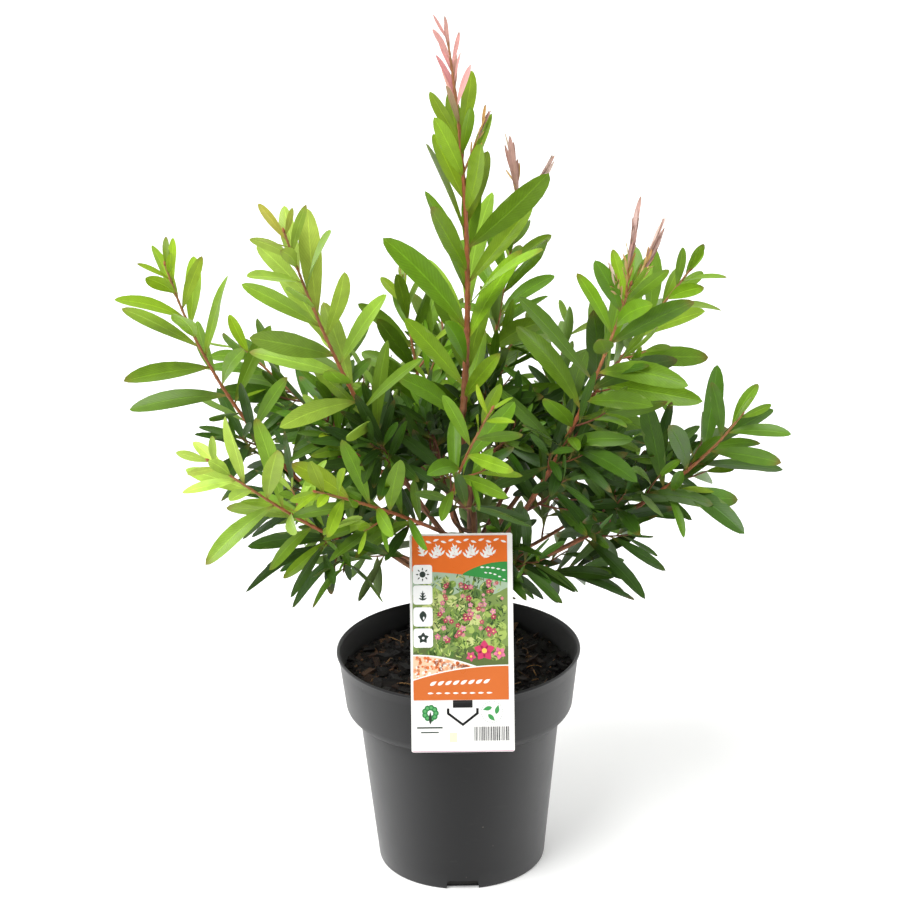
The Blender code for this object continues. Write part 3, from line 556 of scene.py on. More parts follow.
class Tone(Enum):
    """Colours of the leaves, from the youngest to the most shaded; the limbs inside the crown take SHADE and
    DEEP as painted shade.
    """

    PINK = "#d39a93"
    ROSE = "#b88d82"
    BLUSH = "#ead2c9"
    CREAM = "#d9c08a"
    STRAW = "#c99a5c"
    BRONZE = "#84872c"
    LIME = "#a3bf4c"
    FRESH = "#86a520"
    BRIGHT = "#6e921b"
    MID = "#557a18"
    DEEP = "#395a10"
    SHADE = "#21380c"


@dataclass(frozen=True)
class Limb:
    """One curve from inside its parent to a tip, with the rule and the colours of its leaves."""

    name: str  # Name shared by the limb's bough and mass
    parent: str
    fork: float  # Share of the parent's curve where it starts
    bend: Point  # Control point of the curve
    tip: Point
    leafy: float  # Share of the curve where leaves begin
    seed: int
    phase: float  # Direction of the first leaf
    leaf: float  # Length of a full leaf
    hand: int = 1  # Way that the leaves wind
    gap: float = 9.0  # Distance between leaves
    open: float = 62.0  # Angle of the leaves from the stem at its foot
    close: float = 30.0  # And at its tip
    fade: float = 0.6  # Share where the leaves start to shorten
    top: float = 0.38  # Share of their length at the tip
    sag: float = 0.3  # Droop of a level leaf's tip
    twigs: int = 1
    twig: float = 34.0  # Length of the first twig
    face: float = -1.0  # Side that the blades turn to, along Y
    radius: float = 2.3
    bough: bool = True  # Whether a bare bough comes before the mass
    # Colour of the oldest and of the youngest green leaves
    tones: tuple[Tone, Tone] = (Tone.DEEP, Tone.MID)
    young: Tone = Tone.FRESH  # Colour of the leaves at the very tip
    flush: float = 0.9  # Share of the stem where that colour begins
    finer: int = 2  # Number of finer twigs, which the solids leave out
    inside: int = 0  # Number of short leafy shoots on the bough itself, in the shrub's shade; their leaves take painted shade
    slim: float = 1.0  # Factor on the leaves' width
    narrow: float = 0.0  # How much narrower still the leaves of the flush are


INNER = {"radius": 1.6, "bough": False}
# Painted shade: the limbs inside the crown take the darkest tones
SHADED = {**INNER, "tones": (Tone.SHADE, Tone.DEEP), "young": Tone.MID}
REAR = {"face": 1.0, "radius": 2.0, "gap": 11.0}

LIMBS = (
    Limb("leader", "trunk", 1, (21, -3, 537), (0, -6, 691), 0, seed=20, phase=315, leaf=94, hand=-1,
        gap=9.5, open=44, close=14, fade=0.35, top=0.25, sag=0.25, twigs=0, radius=2.8, bough=False,
        tones=(Tone.BRIGHT, Tone.FRESH), young=Tone.PINK, flush=0.78, finer=0, slim=0.97, narrow=0.44),
    Limb("left_outer", "trunk", 0.30, (-172, -23, 340), (-219, -30, 525), 0.58, seed=54, phase=75, leaf=66,
        open=59, twigs=0, radius=2.6, tones=(Tone.MID, Tone.FRESH), flush=0.7, finer=0, inside=5,
        slim=0.94, narrow=0.1),
    Limb("left_mid", "trunk", 0.42, (-77, -67, 397), (-123, -95, 568), 0.42, seed=24, phase=255, leaf=80,
        hand=-1, open=53, twigs=0, radius=2.4, tones=(Tone.BRIGHT, Tone.LIME), young=Tone.BRONZE,
        flush=0.93, finer=0, inside=6, slim=0.9, narrow=0.2),
    Limb("left_low", "left_outer", 0.22, (-81, -87, 302), (-184, -125, 400), 0.42, seed=7, phase=255,
        leaf=64, gap=8.5, radius=2, tones=(Tone.BRIGHT, Tone.LIME), young=Tone.LIME, flush=0.7, finer=1),
    Limb("front_left", "trunk", 0.50, (-39, -73, 336), (-104, -145, 382), 0.36, seed=55, phase=75, leaf=56,
        gap=8.5, twigs=0, radius=1.9, tones=(Tone.MID, Tone.BRIGHT), flush=0.7, finer=1, inside=1),
    Limb("front_mid", "trunk", 0.56, (-27, -65, 321), (28, -110, 432), 0.45, seed=55, phase=270, leaf=50,
        hand=-1, twigs=0, radius=1.8, tones=(Tone.MID, Tone.BRIGHT), flush=0.8, finer=1, inside=2),
    Limb("right_main", "trunk", 0.38, (86, -51, 353), (135, -58, 511), 0.50, seed=33, phase=270, leaf=84,
        gap=8.5, radius=2.8, tones=(Tone.DEEP, Tone.BRIGHT), young=Tone.BRIGHT, inside=5, slim=0.92),
    Limb("right_back", "trunk", 0.44, (80, 72, 335), (194, 92, 477), 0.42, seed=38, phase=195, leaf=78,
        gap=9.5, open=65, twigs=0, radius=2.4, tones=(Tone.MID, Tone.BRIGHT), young=Tone.BRIGHT, flush=0.8,
        finer=3, inside=4),
    Limb("right_outer", "trunk", 0.34, (168, -43, 320), (223, -44, 400), 0.50, seed=18, phase=225, leaf=76,
        gap=8, open=63, twigs=2, radius=2.5, young=Tone.BRIGHT, flush=0.85, inside=4),
    Limb("back_right", "trunk", 0.57, (14, 60, 332), (50, 88, 507), 0.36, seed=23, phase=255, leaf=76,
        gap=9.5, open=68, radius=2.2, tones=(Tone.MID, Tone.BRIGHT), young=Tone.BRIGHT, finer=7, inside=4),
    Limb("back_left", "trunk", 0.46, (-22, 68, 322), (-40, 95, 468), 0.36, seed=24, phase=210, leaf=66,
        gap=9.5, open=50, twigs=0, radius=2, tones=(Tone.MID, Tone.BRIGHT), finer=6, inside=4),
    Limb("far_left", "left_mid", 0.20, (-70, 62, 325), (-172, 90, 418), 0.50, seed=43, phase=75, leaf=66,
        hand=-1, gap=9.5, open=44, radius=2, finer=6, inside=4),
    Limb("inner_left", "left_mid", 0.30, (-80, -33, 365), (-106, -30, 404), 0.35, seed=56, phase=45,
        leaf=42, hand=-1, gap=7.5, open=68, twigs=2, twig=30, finer=10, **INNER),
    Limb("inner_mid", "trunk", 0.76, (-24, 6, 350), (-45, 10, 386), 0.30, seed=18, phase=120, leaf=46,
        hand=-1, gap=8, twigs=3, finer=12, **SHADED),
    Limb("inner_centre", "trunk", 0.83, (36, 6, 353), (52, 10, 371), 0.25, seed=56, phase=90, leaf=48,
        hand=-1, gap=8, twigs=3, finer=10, **SHADED),
    Limb("inner_right", "right_main", 0.30, (91, -10, 327), (114, 0, 353), 0.25, seed=49, phase=300,
        leaf=50, gap=8, open=71, twigs=3, twig=36, finer=7, **SHADED),
    Limb("right_low", "right_outer", 0.35, (141, 3, 311), (161, 20, 344), 0.30, seed=34, phase=60, leaf=48,
        gap=8, twigs=2, finer=5, **SHADED),
    Limb("droop_left", "left_outer", 0.30, (-100, -48, 295), (-108, -70, 300), 0.25, seed=4, phase=75,
        leaf=52, gap=8, open=78, close=50, sag=0.8, twigs=2, finer=3, **SHADED),
    Limb("droop_right", "right_outer", 0.10, (87, 6, 245), (115, 15, 250), 0.25, seed=57, phase=150,
        leaf=58, hand=-1, gap=7, open=50, close=32, sag=0.4, twig=30, finer=1, **SHADED),
    Limb("low_centre", "trunk", 0.31, (20, -24, 250), (54, -34, 284), 0.30, seed=15, phase=45, leaf=46,
        hand=-1, gap=7.5, open=75, close=50, sag=0.6, twigs=2, twig=30, finer=7, **SHADED),
    Limb("rear_mid", "trunk", 0.70, (-2, 99, 354), (-10, 160, 430), 0.40, seed=59, phase=270, leaf=60,
        hand=-1, open=56, tones=(Tone.DEEP, Tone.BRIGHT), finer=12, inside=1, **REAR),
    Limb("rear_left", "trunk", 0.64, (-60, 96, 331), (-105, 155, 400), 0.40, seed=26, phase=120, leaf=60,
        hand=-1, open=59, tones=(Tone.DEEP, Tone.BRIGHT), finer=12, inside=2, **REAR),
    Limb("rear_right", "trunk", 0.49, (67, 99, 319), (100, 160, 410), 0.40, seed=22, phase=90, leaf=60,
        hand=-1, finer=9, inside=1, **REAR),
    Limb("rear_low_left", "trunk", 0.36, (-89, 68, 252), (-150, 110, 300), 0.40, seed=16, phase=270,
        leaf=54, hand=-1, open=68, twigs=0, finer=11, inside=1, **REAR),
    Limb("rear_low_right", "trunk", 0.40, (104, 71, 259), (160, 115, 305), 0.40, seed=38, phase=285,
        leaf=56, open=59, twigs=0, finer=7, inside=1, **REAR),
    Limb("rear_low", "trunk", 0.32, (13, 102, 250), (15, 165, 300), 0.40, seed=3, phase=30, leaf=52,
        open=71, twigs=0, finer=7, inside=1, **REAR),
)


@dataclass
class Line:
    """A curve measured along its length."""

    points: Array  # Points of the curve
    run: Array  # Length from the start to each point

    @classmethod
    def of(cls, curve: Curve, first: float = 0.0, last: float = 1.0, count: int = 80) -> "Line":
        """Measure the stretch of a curve between two shares, at a number of points."""
        points = bezier(curve, np.linspace(first, last, count))
        steps = np.linalg.norm(np.diff(points, axis=0), axis=1)
        return cls(points, np.concatenate([[0.0], np.cumsum(steps)]))

    def at(self, lengths: Array | float) -> Array:
        """Points at given lengths from the start."""
        return np.stack([np.interp(lengths, self.run, self.points[:, k]) for k in range(3)], -1)

    def heading(self, lengths: Array) -> Array:
        """Directions of the line at given lengths, from points 1 mm before and after."""
        total = self.run[-1]
        return unit(self.at(np.minimum(lengths + 1.0, total)) - self.at(np.maximum(lengths - 1.0, 0.0)))


def bezier(curve: Curve, t: Array | float) -> Array:
    """Points of a curve at its shares t: start (1 - t)^2 + 2 bend t (1 - t) + tip t^2."""
    start, bend, tip = curve
    t = np.asarray(t, float)[..., None]
    return start * (1 - t) ** 2 + 2 * bend * t * (1 - t) + tip * t * t


@dataclass
class Leaves:
    """Leaves of one stem, as arrays with one row for each leaf."""

    root: Array  # Where the leaf leaves the stem's axis
    heading: Array  # Direction of the stem there
    near: Array  # Direction square to the heading, towards the face
    aside: Array  # The third direction
    turn: Array  # Angle round the stem
    spread: Array  # Angle from the stem
    length: Array
    width: Array
    twist: Array  # Of the blade about its own length
    sag: Array
    face: Array  # Direction that the upper side turns to
    share: Array  # Place along the stem, 0 to 1
    tint: Array

    def pick(self, chosen: Array) -> "Leaves":
        """The leaves at the given rows."""
        return Leaves(**{name: value[chosen] for name, value in self.__dict__.items()})

    def frame(self) -> tuple[Array, Array, Array, Array]:
        """Directions of each leaf: ahead, across, up from the blade, and down square to it.

        Formula: ahead = cos(spread) heading + sin(spread) (cos(turn) near + sin(turn) aside);
        the upper side is the face turned by the twist, plus a lift towards the stem's tip.

        Returns:
            Four arrays of unit vectors: ahead, edge, upper and fall.
        """
        turn, spread, twist = (v[:, None] for v in (self.turn, self.spread, self.twist))
        away = np.cos(turn) * self.near + np.sin(turn) * self.aside
        ahead = unit(np.cos(spread) * self.heading + np.sin(spread) * away)
        natural = unit(self.heading - dot(self.heading, ahead) * ahead)
        facing = unit(self.face - dot(self.face, ahead) * ahead)
        upper = np.cos(twist) * facing + np.sin(twist) * np.cross(ahead, facing)
        upper = unit(upper + RULE.lift * natural)
        upper = unit(upper - dot(upper, ahead) * ahead)
        fall = unit(DOWN - dot(np.broadcast_to(DOWN, ahead.shape), ahead) * ahead)
        return ahead, unit(np.cross(ahead, upper)), upper, fall

    def middles(self, t: Array) -> Array:
        """Midribs, (leaves, m, 3), at m shares of the leaf.

        Formula: root + length (t ahead + sag/2 |level part of ahead| t^2 fall).
        """
        ahead, _, _, fall = self.frame()
        droop = 0.5 * self.sag * np.hypot(ahead[:, 0], ahead[:, 1])
        t = t[None, :, None]
        way = t * ahead[:, None] + droop[:, None, None] * t * t * fall[:, None]
        return self.root[:, None] + self.length[:, None, None] * way


@dataclass(frozen=True)
class Rule:
    """Numbers of the rule that leaves and twigs grow by; angles are in degrees."""

    turn_spread: float = 13.0  # Of a leaf round its stem, as one standard deviation
    open_spread: float = 6.0
    twist_spread: float = 30.0
    length_spread: float = 0.1
    width_spread: float = 0.08
    sag_spread: float = 0.5
    bare: float = 4.0  # Length before a stem's first leaf
    twig_bare: float = 5.0
    crowd_from: float = 0.6  # Share of a stem where the leaves start to crowd
    crowd: float = 0.5  # How much closer they stand at its tip
    close_power: float = 1.5  # How late the leaves close up to the stem
    rise: Pair = (0.8, 0.25)  # Length of the first leaves, and the share where they are full
    lift: float = 0.35  # How far an upper side turns to the stem's tip
    face_up: float = 0.4  # How far it turns up, beside its side along Y
    slim: float = 0.205  # Width of a blade beside its length
    broader: Pair = (0.94, 0.34)  # Factor on it at a stem's foot, and its rise to the tip
    twig_leaf: float = 0.62  # A twig's leaves beside the stem's
    twig_gap: float = 1.35
    twig_radius: Pair = (0.9, 0.6)
    tip_radius: float = 0.75
    twig_first: float = 0.06  # Share of the stem at the first twig
    twig_range: float = 0.55  # Range that the twigs share
    twig_heading: Pair = (0.62, 0.78)  # Of a twig's first half, along the stem and away from it
    twig_up: float = 0.35  # How far its second half turns along the stem
    twig_fade: float = 0.12  # How much shorter each is than the one before
    twig_spread: float = 0.12
    twig_turn: float = 60.0  # Of the first twig from the first leaf
    twig_turn_spread: float = 0.4
    # A finer twig's leaves beside the stem's, with and without a bare bough
    finer_leaf: Pair = (0.68, 1.12)
    finer_gap: float = 0.72
    finer_twig: Pair = (0.85, 1.15)  # A finer twig beside the first twig, with and without a bare bough
    finer_run: Pair = (0.12, 0.92)  # Shares of a stem without a bare bough between which they stand
    inside_from: float = 0.36  # Share of a limb where the shoots on the bough itself begin
    inside_twig: float = 36.0  # Length of such a shoot
    inside_leaf: float = 56.0
    inside_gap: float = 5.6
    slender: float = 0.76  # Factor on the width of the leaves of both

    def face_of(self, limb: Limb) -> Array:
        """Direction that a limb's blades turn to."""
        return unit(np.array((0.0, limb.face, self.face_up)))

    def sides(self, heading: Array, face: Array) -> tuple[Array, Array]:
        """Two directions square to each heading: towards the face, and aside."""
        near = unit(face - dot(heading, np.broadcast_to(face, heading.shape)) * heading)
        return near, np.cross(heading, near)

    def leaves(
        self, line: Line, limb: Limb, rng: Draws, size: float, gap: float,
        bare: float, phase: float, hand: int,
    ) -> Leaves:
        """Leaves along a stem: each turns by the golden angle and opens less towards the tip.

        Formula: turn = phase + hand 137.508 i + draw; spread = open + (close - open) share^1.5
        + draw; length = size min(rise, fall) exp(draw).

        Args:
            line: The stem.
            limb: The limb whose numbers count.
            rng: Source of the draws.
            size: Length of a full leaf.
            gap: Distance between leaves.
            bare: Length before the first leaf.
            phase: Direction of the first leaf, in degrees.
            hand: Way that the leaves wind.

        Returns:
            The leaves.
        """
        total = line.run[-1]
        lengths, length = [], bare
        while length < total:
            lengths.append(length)
            crowded = max(0.0, (length / total - self.crowd_from) / (1 - self.crowd_from))
            length += gap * (1.0 - self.crowd * crowded)
        place = np.array(lengths)
        share = place / total
        draw = rng.normal(0.0, 1.0, (len(place), 6))
        heading = line.heading(place)
        face = self.face_of(limb)
        near, aside = self.sides(heading, face)
        opened = limb.open + (limb.close - limb.open) * share**self.close_power
        rise = np.minimum(1.0, self.rise[0] + (1.0 - self.rise[0]) * share / self.rise[1])
        fall = 1.0 - (1.0 - limb.top) * np.clip((share - limb.fade) / (1.0 - limb.fade), 0.0, 1.0)
        reach = size * np.minimum(rise, fall) * np.exp(self.length_spread * np.clip(draw[:, 2], -2, 2))
        broad = self.broader[0] + self.broader[1] * share
        return Leaves(
            root=line.at(place), heading=heading, near=near, aside=aside,
            turn=np.radians(phase + self.turn_spread * draw[:, 0]) + hand * GOLDEN * np.arange(len(place)),
            spread=np.radians(opened + self.open_spread * draw[:, 1]),
            length=reach,
            width=reach * self.slim * broad * np.exp(self.width_spread * draw[:, 3]),
            twist=np.radians(self.twist_spread * draw[:, 4]),
            sag=limb.sag * (1.0 + self.sag_spread * np.clip(draw[:, 5], -1.5, 1.5)),
            face=np.broadcast_to(face, heading.shape),
            share=share,
            tint=np.ones(heading.shape),
        )

    def twig(
        self, line: Line, limb: Limb, rng: Draws, k: float, reach: float, share: float | None = None
    ) -> Curve:
        """Curve of a mass's k-th twig: it leaves the stem sideways and turns up along it.

        Args:
            line: The stem.
            limb: The limb whose numbers count.
            rng: Source of the draws.
            k: Number of the twig; a half lies between two.
            reach: Length of the first twig.
            share: Place along the stem, if the number of the twig does not give it.

        Returns:
            Start, bend and tip.
        """
        if share is None:
            share = self.twig_first + self.twig_range * k / max(limb.twigs, 1)
        foot = share * line.run[-1]
        root = line.at(foot)
        heading = unit(line.at(foot + 2.0) - root)
        near, aside = self.sides(heading[None], self.face_of(limb))
        turn = math.radians(limb.phase + self.twig_turn) + GOLDEN * (k + 0.5)
        turn += self.twig_turn_spread * rng.normal()
        out = math.cos(turn) * near[0] + math.sin(turn) * aside[0]
        away = unit(self.twig_heading[0] * heading + self.twig_heading[1] * out)
        length = reach * (1.0 - self.twig_fade * k) * math.exp(self.twig_spread * rng.normal())
        return root, root + 0.5 * length * away, root + length * unit(away + self.twig_up * heading)


RULE = Rule()


# ---------------------------------------------------------------- the shrub

@dataclass(frozen=True)
class LeafShape:
    """An oblanceolate blade: broadest past its middle, tapering to a short stalk."""

    # Shares of the length where the blade has a row of vertices
    stations: tuple[float, ...] = (0.0, 0.04, 0.13, 0.26, 0.40, 0.54, 0.68, 0.80, 0.90, 0.965)
    base_power: float = 1.0  # How slowly the blade widens from its stalk
    tip_power: float = 0.62  # How bluntly it ends
    stalk: float = 1.5  # Width of the stalk, in millimetres, for a leaf of 80 mm
    # Height of the margins over the midrib, as a share of half the width, and its spread
    fold: Pair = (0.22, 0.08)
    cup: float = 1.6  # Power of the fold across the blade
    wave: float = 0.05  # Spread of the margins' waves, as a share of half the width
    bend: float = 0.016  # Spread of the midrib's bend sideways, as a share of the length
    arch: Pair = (0.016, 0.014)  # The same upwards: mean and spread
    # Spread of the turn along the blade, and the share of the length where it is nil
    twist: Pair = (0.30, 0.15)
    thick: float = 0.45
    lighter: float = 0.12  # How much lighter the tip is than the foot
    stalk_tint: str = "#8f7a3a"
    # Share of that colour, and the shares of the length between which it fades
    stalked: Point = (0.7, 0.02, 0.16)
    tip_tint: str = "#7a5a2a"  # Colour that some tips have turned to
    scorch: Pair = (-0.9, 0.75)  # Range of the share of that colour, where less than 0 means none
    scorched: float = 0.86  # Share of the length where it begins

    def half_width(self, t: Array) -> Array:
        """Half of the width as a share of the greatest half.

        Formula: t^a (1 - t)^b divided by its greatest value, which lies at t = a / (a + b).
        """
        a, b = self.base_power, self.tip_power
        peak = a / (a + b)
        return t**a * (1.0 - t) ** b / (peak**a * (1.0 - peak) ** b)

    def rows(self, leaves: Leaves, rng: Draws, column: Array, below: Array) -> tuple[Array, Array]:
        """Vertices of the blades' rows, from margin to margin and back, and of their tips.

        Formula: middle + c half E + half (fold |c|^cup + wave c^2) U, less the thickness below,
        where E and U are the blade's directions across and up, and turn along the leaf.

        Args:
            leaves: The leaves.
            rng: Source of small bends and twists.
            column: Place of each vertex of a row across the blade, -1 to 1.
            below: 1 for a vertex of the lower side, otherwise 0.

        Returns:
            The rows, (leaves, rows, columns, 3), and the tips, (leaves, 1, 3).
        """
        count = len(leaves.length)
        t = np.array((*self.stations, 1.0))
        _, edge, upper, _ = leaves.frame()
        bend = rng.normal(0.0, self.bend, (count, 1, 1))
        arch = rng.normal(*self.arch, (count, 1, 1))
        bow = leaves.length[:, None, None] * np.sin(math.pi * t)[None, :, None]
        middle = leaves.middles(t) + bow * (bend * edge[:, None] + arch * upper[:, None])
        spread, calm = self.twist
        angle = rng.normal(0.0, spread, (count, 1, 1)) * (t[None, :, None] - calm)
        across = np.cos(angle) * edge[:, None] + np.sin(angle) * upper[:, None]
        above = np.cos(angle) * upper[:, None] - np.sin(angle) * edge[:, None]
        half = 0.5 * leaves.width[:, None] * self.half_width(t)[None]
        stalk = 0.5 * self.stalk * np.sqrt(leaves.length / 80.0)[:, None]
        half = np.maximum(half, stalk * (t < 0.5))[:, :-1, None, None]
        fold = np.clip(rng.normal(*self.fold, (count, 1, 1, 1)), 0.02, 0.5)
        wave = rng.normal(0.0, self.wave, (count, 1, 1, 1)) * np.sin(
            rng.uniform(2.0, 4.0, (count, 1, 1, 1)) * math.pi * t[None, :-1, None, None]
            + rng.uniform(0.0, 6.3, (count, 1, 1, 1))
        )
        c = column[None, None, :, None]
        height = half * (fold * np.abs(c) ** self.cup + wave * c**2)
        height = height - below[None, None, :, None] * self.thick * (1.0 - c**2)
        rows = middle[:, :-1, None] + c * half * across[:, :-1, None] + height * above[:, :-1, None]
        return rows, middle[:, -1:]

    def lay(self, leaves: Leaves, skin: Skin, rng: Draws) -> None:
        """Add the blades of some leaves, each a closed thin body.

        Args:
            leaves: The leaves.
            skin: Where the blades go.
            rng: Source of small bends and twists.
        """
        count = len(leaves.length)
        if count == 0:
            return
        column = np.array((-1.0, -0.5, 0.0, 0.5, 1.0, 1.0, 0.5, 0.0, -0.5, -1.0))
        below = np.repeat((0.0, 1.0), 5)
        rings, tip = self.rows(leaves, rng, column, below)
        rows, width = rings.shape[1:3]
        points = np.concatenate([rings.reshape(count, -1, 3), tip, tip], 1)
        row = np.arange(rows - 1)[:, None] * width
        strip = np.array((0, 1, 2, 3, 5, 6, 7, 8))[None]
        quads = np.stack([row + strip, row + strip + 1, row + width + strip + 1, row + width + strip], -1)
        # The last row closes at the tip, and the first at the stalk's foot
        last = (rows - 1) * width + strip[0]
        ends = np.repeat((0, 1), 4) + rows * width
        foot = np.array(((1, 0, 8), (2, 1, 8), (2, 8, 7), (2, 7, 6), (3, 2, 6), (4, 3, 6)))
        triangles = np.concatenate([np.stack([last, last + 1, ends], -1), foot])
        offset = (np.arange(count) * points.shape[1])[:, None, None]
        along = np.append(np.repeat(self.stations, width), (1.0, 1.0))
        sideways = np.append(np.tile(0.5 + 0.5 * column, rows), (0.5, 0.5))
        skin.add(
            points.reshape(-1, 3),
            (quads.reshape(1, -1, 4) + offset).reshape(-1, 4),
            (triangles[None] + offset).reshape(-1, 3),
            tint=self.tint(leaves, along, rng).reshape(-1, 3),
            under=np.tile(np.append(np.tile(below, rows), (0.0, 1.0)), count),
            uv=np.tile(np.stack([sideways, along], -1), (count, 1)),
        )

    def tint(self, leaves: Leaves, along: Array, rng: Draws) -> Array:
        """Linear colours, (leaves, vertices, 3), at places along the leaf.

        They are the leaf's own colour, with a yellower stalk and a few scorched tips.
        """
        share, low, high = self.stalked
        stalked = 1.0 - smooth(along, low, high)[None, :, None]
        shade = 1.0 + self.lighter * (along - 0.5)[None, :, None]
        tint = leaves.tint[:, None] * shade * (1 - share * stalked)
        tint = tint + share * stalked * linear(self.stalk_tint)
        scorch = rng.uniform(*self.scorch, (len(leaves.length), 1, 1))
        scorch = scorch * smooth(along, self.scorched, 1.0)[None, :, None]
        return tint + np.maximum(scorch, 0.0) * (linear(self.tip_tint) - tint)


@dataclass(frozen=True)
class Twiggy:
    """Round wood: trunk, boughs, stems and twigs as tubes along curves."""

    ripple: float = 1.6  # Wavelength of the bark's ridges, in strips
    streak: float = 9.0  # How much longer than wide the ridges are
    # Half the length of the swelling at a leaf's scar, and its height on a 1 mm stem
    scar: Pair = (1.3, 0.3)
    worn: float = 0.25  # How much lighter the ridges are

    def tube(
        self, skin: Skin, line: Line, radius: Array, sides: int, tint: Array,
        relief: float = 0.0, seed: int = 0, strip: float = 2.4, scars: Array | None = None,
    ) -> None:
        """Add a tapering tube that is closed at both ends.

        Formula: C + r (1 + relief (ridges)) (cos a N + sin a B), where B is the normal of the
        curve's own plane, so that the tube has no twist; each scar adds a low swelling.

        Args:
            skin: Where the tube goes.
            line: Its middle.
            radius: Radius at each point of the line.
            sides: Number of vertices in a ring.
            tint: Linear colour at each point.
            relief: Height of the bark's ridges as a share of the radius.
            seed: Seed of the ridges.
            strip: Width of a ridge, in millimetres.
            scars: Lengths where leaves stood.
        """
        points = line.points
        ahead = unit(np.gradient(points, axis=0))
        plane = np.cross(points[len(points) // 2] - points[0], points[-1] - points[0])
        if np.linalg.norm(plane) < 1e-3 * line.run[-1]:
            plane = np.cross(ahead[0], (0.0, 1.0, 0.01))
        plane = np.broadcast_to(unit(plane), ahead.shape)
        binormal = unit(plane - dot(plane, ahead) * ahead)
        normal = np.cross(binormal, ahead)
        angle = 2.0 * math.pi * np.arange(sides) / sides
        mean = float(radius.mean())
        place = np.stack(np.broadcast_arrays(
            mean * np.cos(angle)[None] / strip, mean * np.sin(angle)[None] / strip,
            line.run[:, None] / (self.streak * strip),
        ), -1)
        ridges = Ripple(self.ripple, seed).at(place) if relief else np.zeros((len(points), sides))
        ring = radius[:, None] * (1.0 + relief * ridges)
        if scars is not None and len(scars):
            long, high = self.scar
            swell = np.exp(-(((line.run[:, None] - scars[None]) / long) ** 2)).sum(1)
            ring = ring + high * np.minimum(swell, 1.0)[:, None] * np.sqrt(radius)[:, None]
        away = (
            np.cos(angle)[None, :, None] * normal[:, None] + np.sin(angle)[None, :, None] * binormal[:, None]
        )
        u = np.broadcast_to(mean * angle[None], ring.shape)
        v = np.broadcast_to(line.run[:, None], ring.shape)
        uv = np.concatenate([np.stack([u, v], -1).reshape(-1, 2), [[0.0, 0.0], [0.0, line.run[-1]]]])
        colour = np.repeat(tint, sides, axis=0) * (1.0 + self.worn * ridges.reshape(-1, 1) * (relief > 0))
        colour = np.clip(np.concatenate([colour, tint[:1], tint[-1:]]), 0.0, 1.0)
        skin.close(points[:, None] + ring[..., None] * away, points[[0, -1]], tint=colour, uv=uv)


@dataclass(frozen=True)
class Tuft:
    """A flush of new growth: a thin stalk with open papery bracts, then closed young leaves."""

    limb: str
    share: float  # Place along the limb's curve
    aim: Point
    reach: float  # Length from the stalk's foot to the leaves' tips
    leaf: float  # Length of the closed leaves
    count: tuple[int, int]  # Number of bracts and of closed leaves
    seed: int
    young: Tone = Tone.ROSE
    papery: Tone = Tone.STRAW
    bract: float = 13.0


TUFTS = (
    Tuft("back_right", 1.0, (0.03, 0.0, 1.0), 80.0, 36.0, (8, 9), 3),
    Tuft("back_right", 0.97, (0.36, 0.0, 0.93), 82.0, 34.0, (8, 8), 4),
    Tuft("right_main", 0.97, (0.10, 0.0, 1.0), 64.0, 32.0, (15, 14), 5),
    Tuft("right_main", 0.98, (0.50, 0.0, 0.86), 56.0, 32.0, (15, 12), 6),
    Tuft("right_main", 0.95, (-0.30, -0.55, 0.92), 46.0, 22.0, (18, 10), 7, Tone.CREAM),
    Tuft("back_left", 0.99, (0.12, 0.0, 1.0), 30.0, 16.0, (8, 6), 8, Tone.CREAM),
    Tuft("leader", 0.66, (0.36, -0.1, 0.9), 56.0, 16.0, (11, 5), 9),
)

CROWN = {
    "leader": ("leader",),
    "front_left": ("left_outer", "left_mid", "left_low", "front_left", "front_mid", "far_left"),
    "front_right": ("right_main", "right_back", "right_outer", "back_right", "back_left"),
    "inner": (
        "inner_left", "inner_mid", "inner_centre", "inner_right", "right_low", "droop_left",
        "droop_right", "low_centre",
    ),
    "rear": ("rear_mid", "rear_left", "rear_right", "rear_low_left", "rear_low_right", "rear_low"),
}


@dataclass
class Growth:
    """Where the foliage of one limb goes, and what all its twigs share."""

    blades: Skin  # Where the blades go
    stems: Skin  # Where stems and twigs go
    hue: Draws  # Source of the colours' spread
    fine: Draws  # Source of the blades' small bends, and of the finer twigs
    label: "Label"


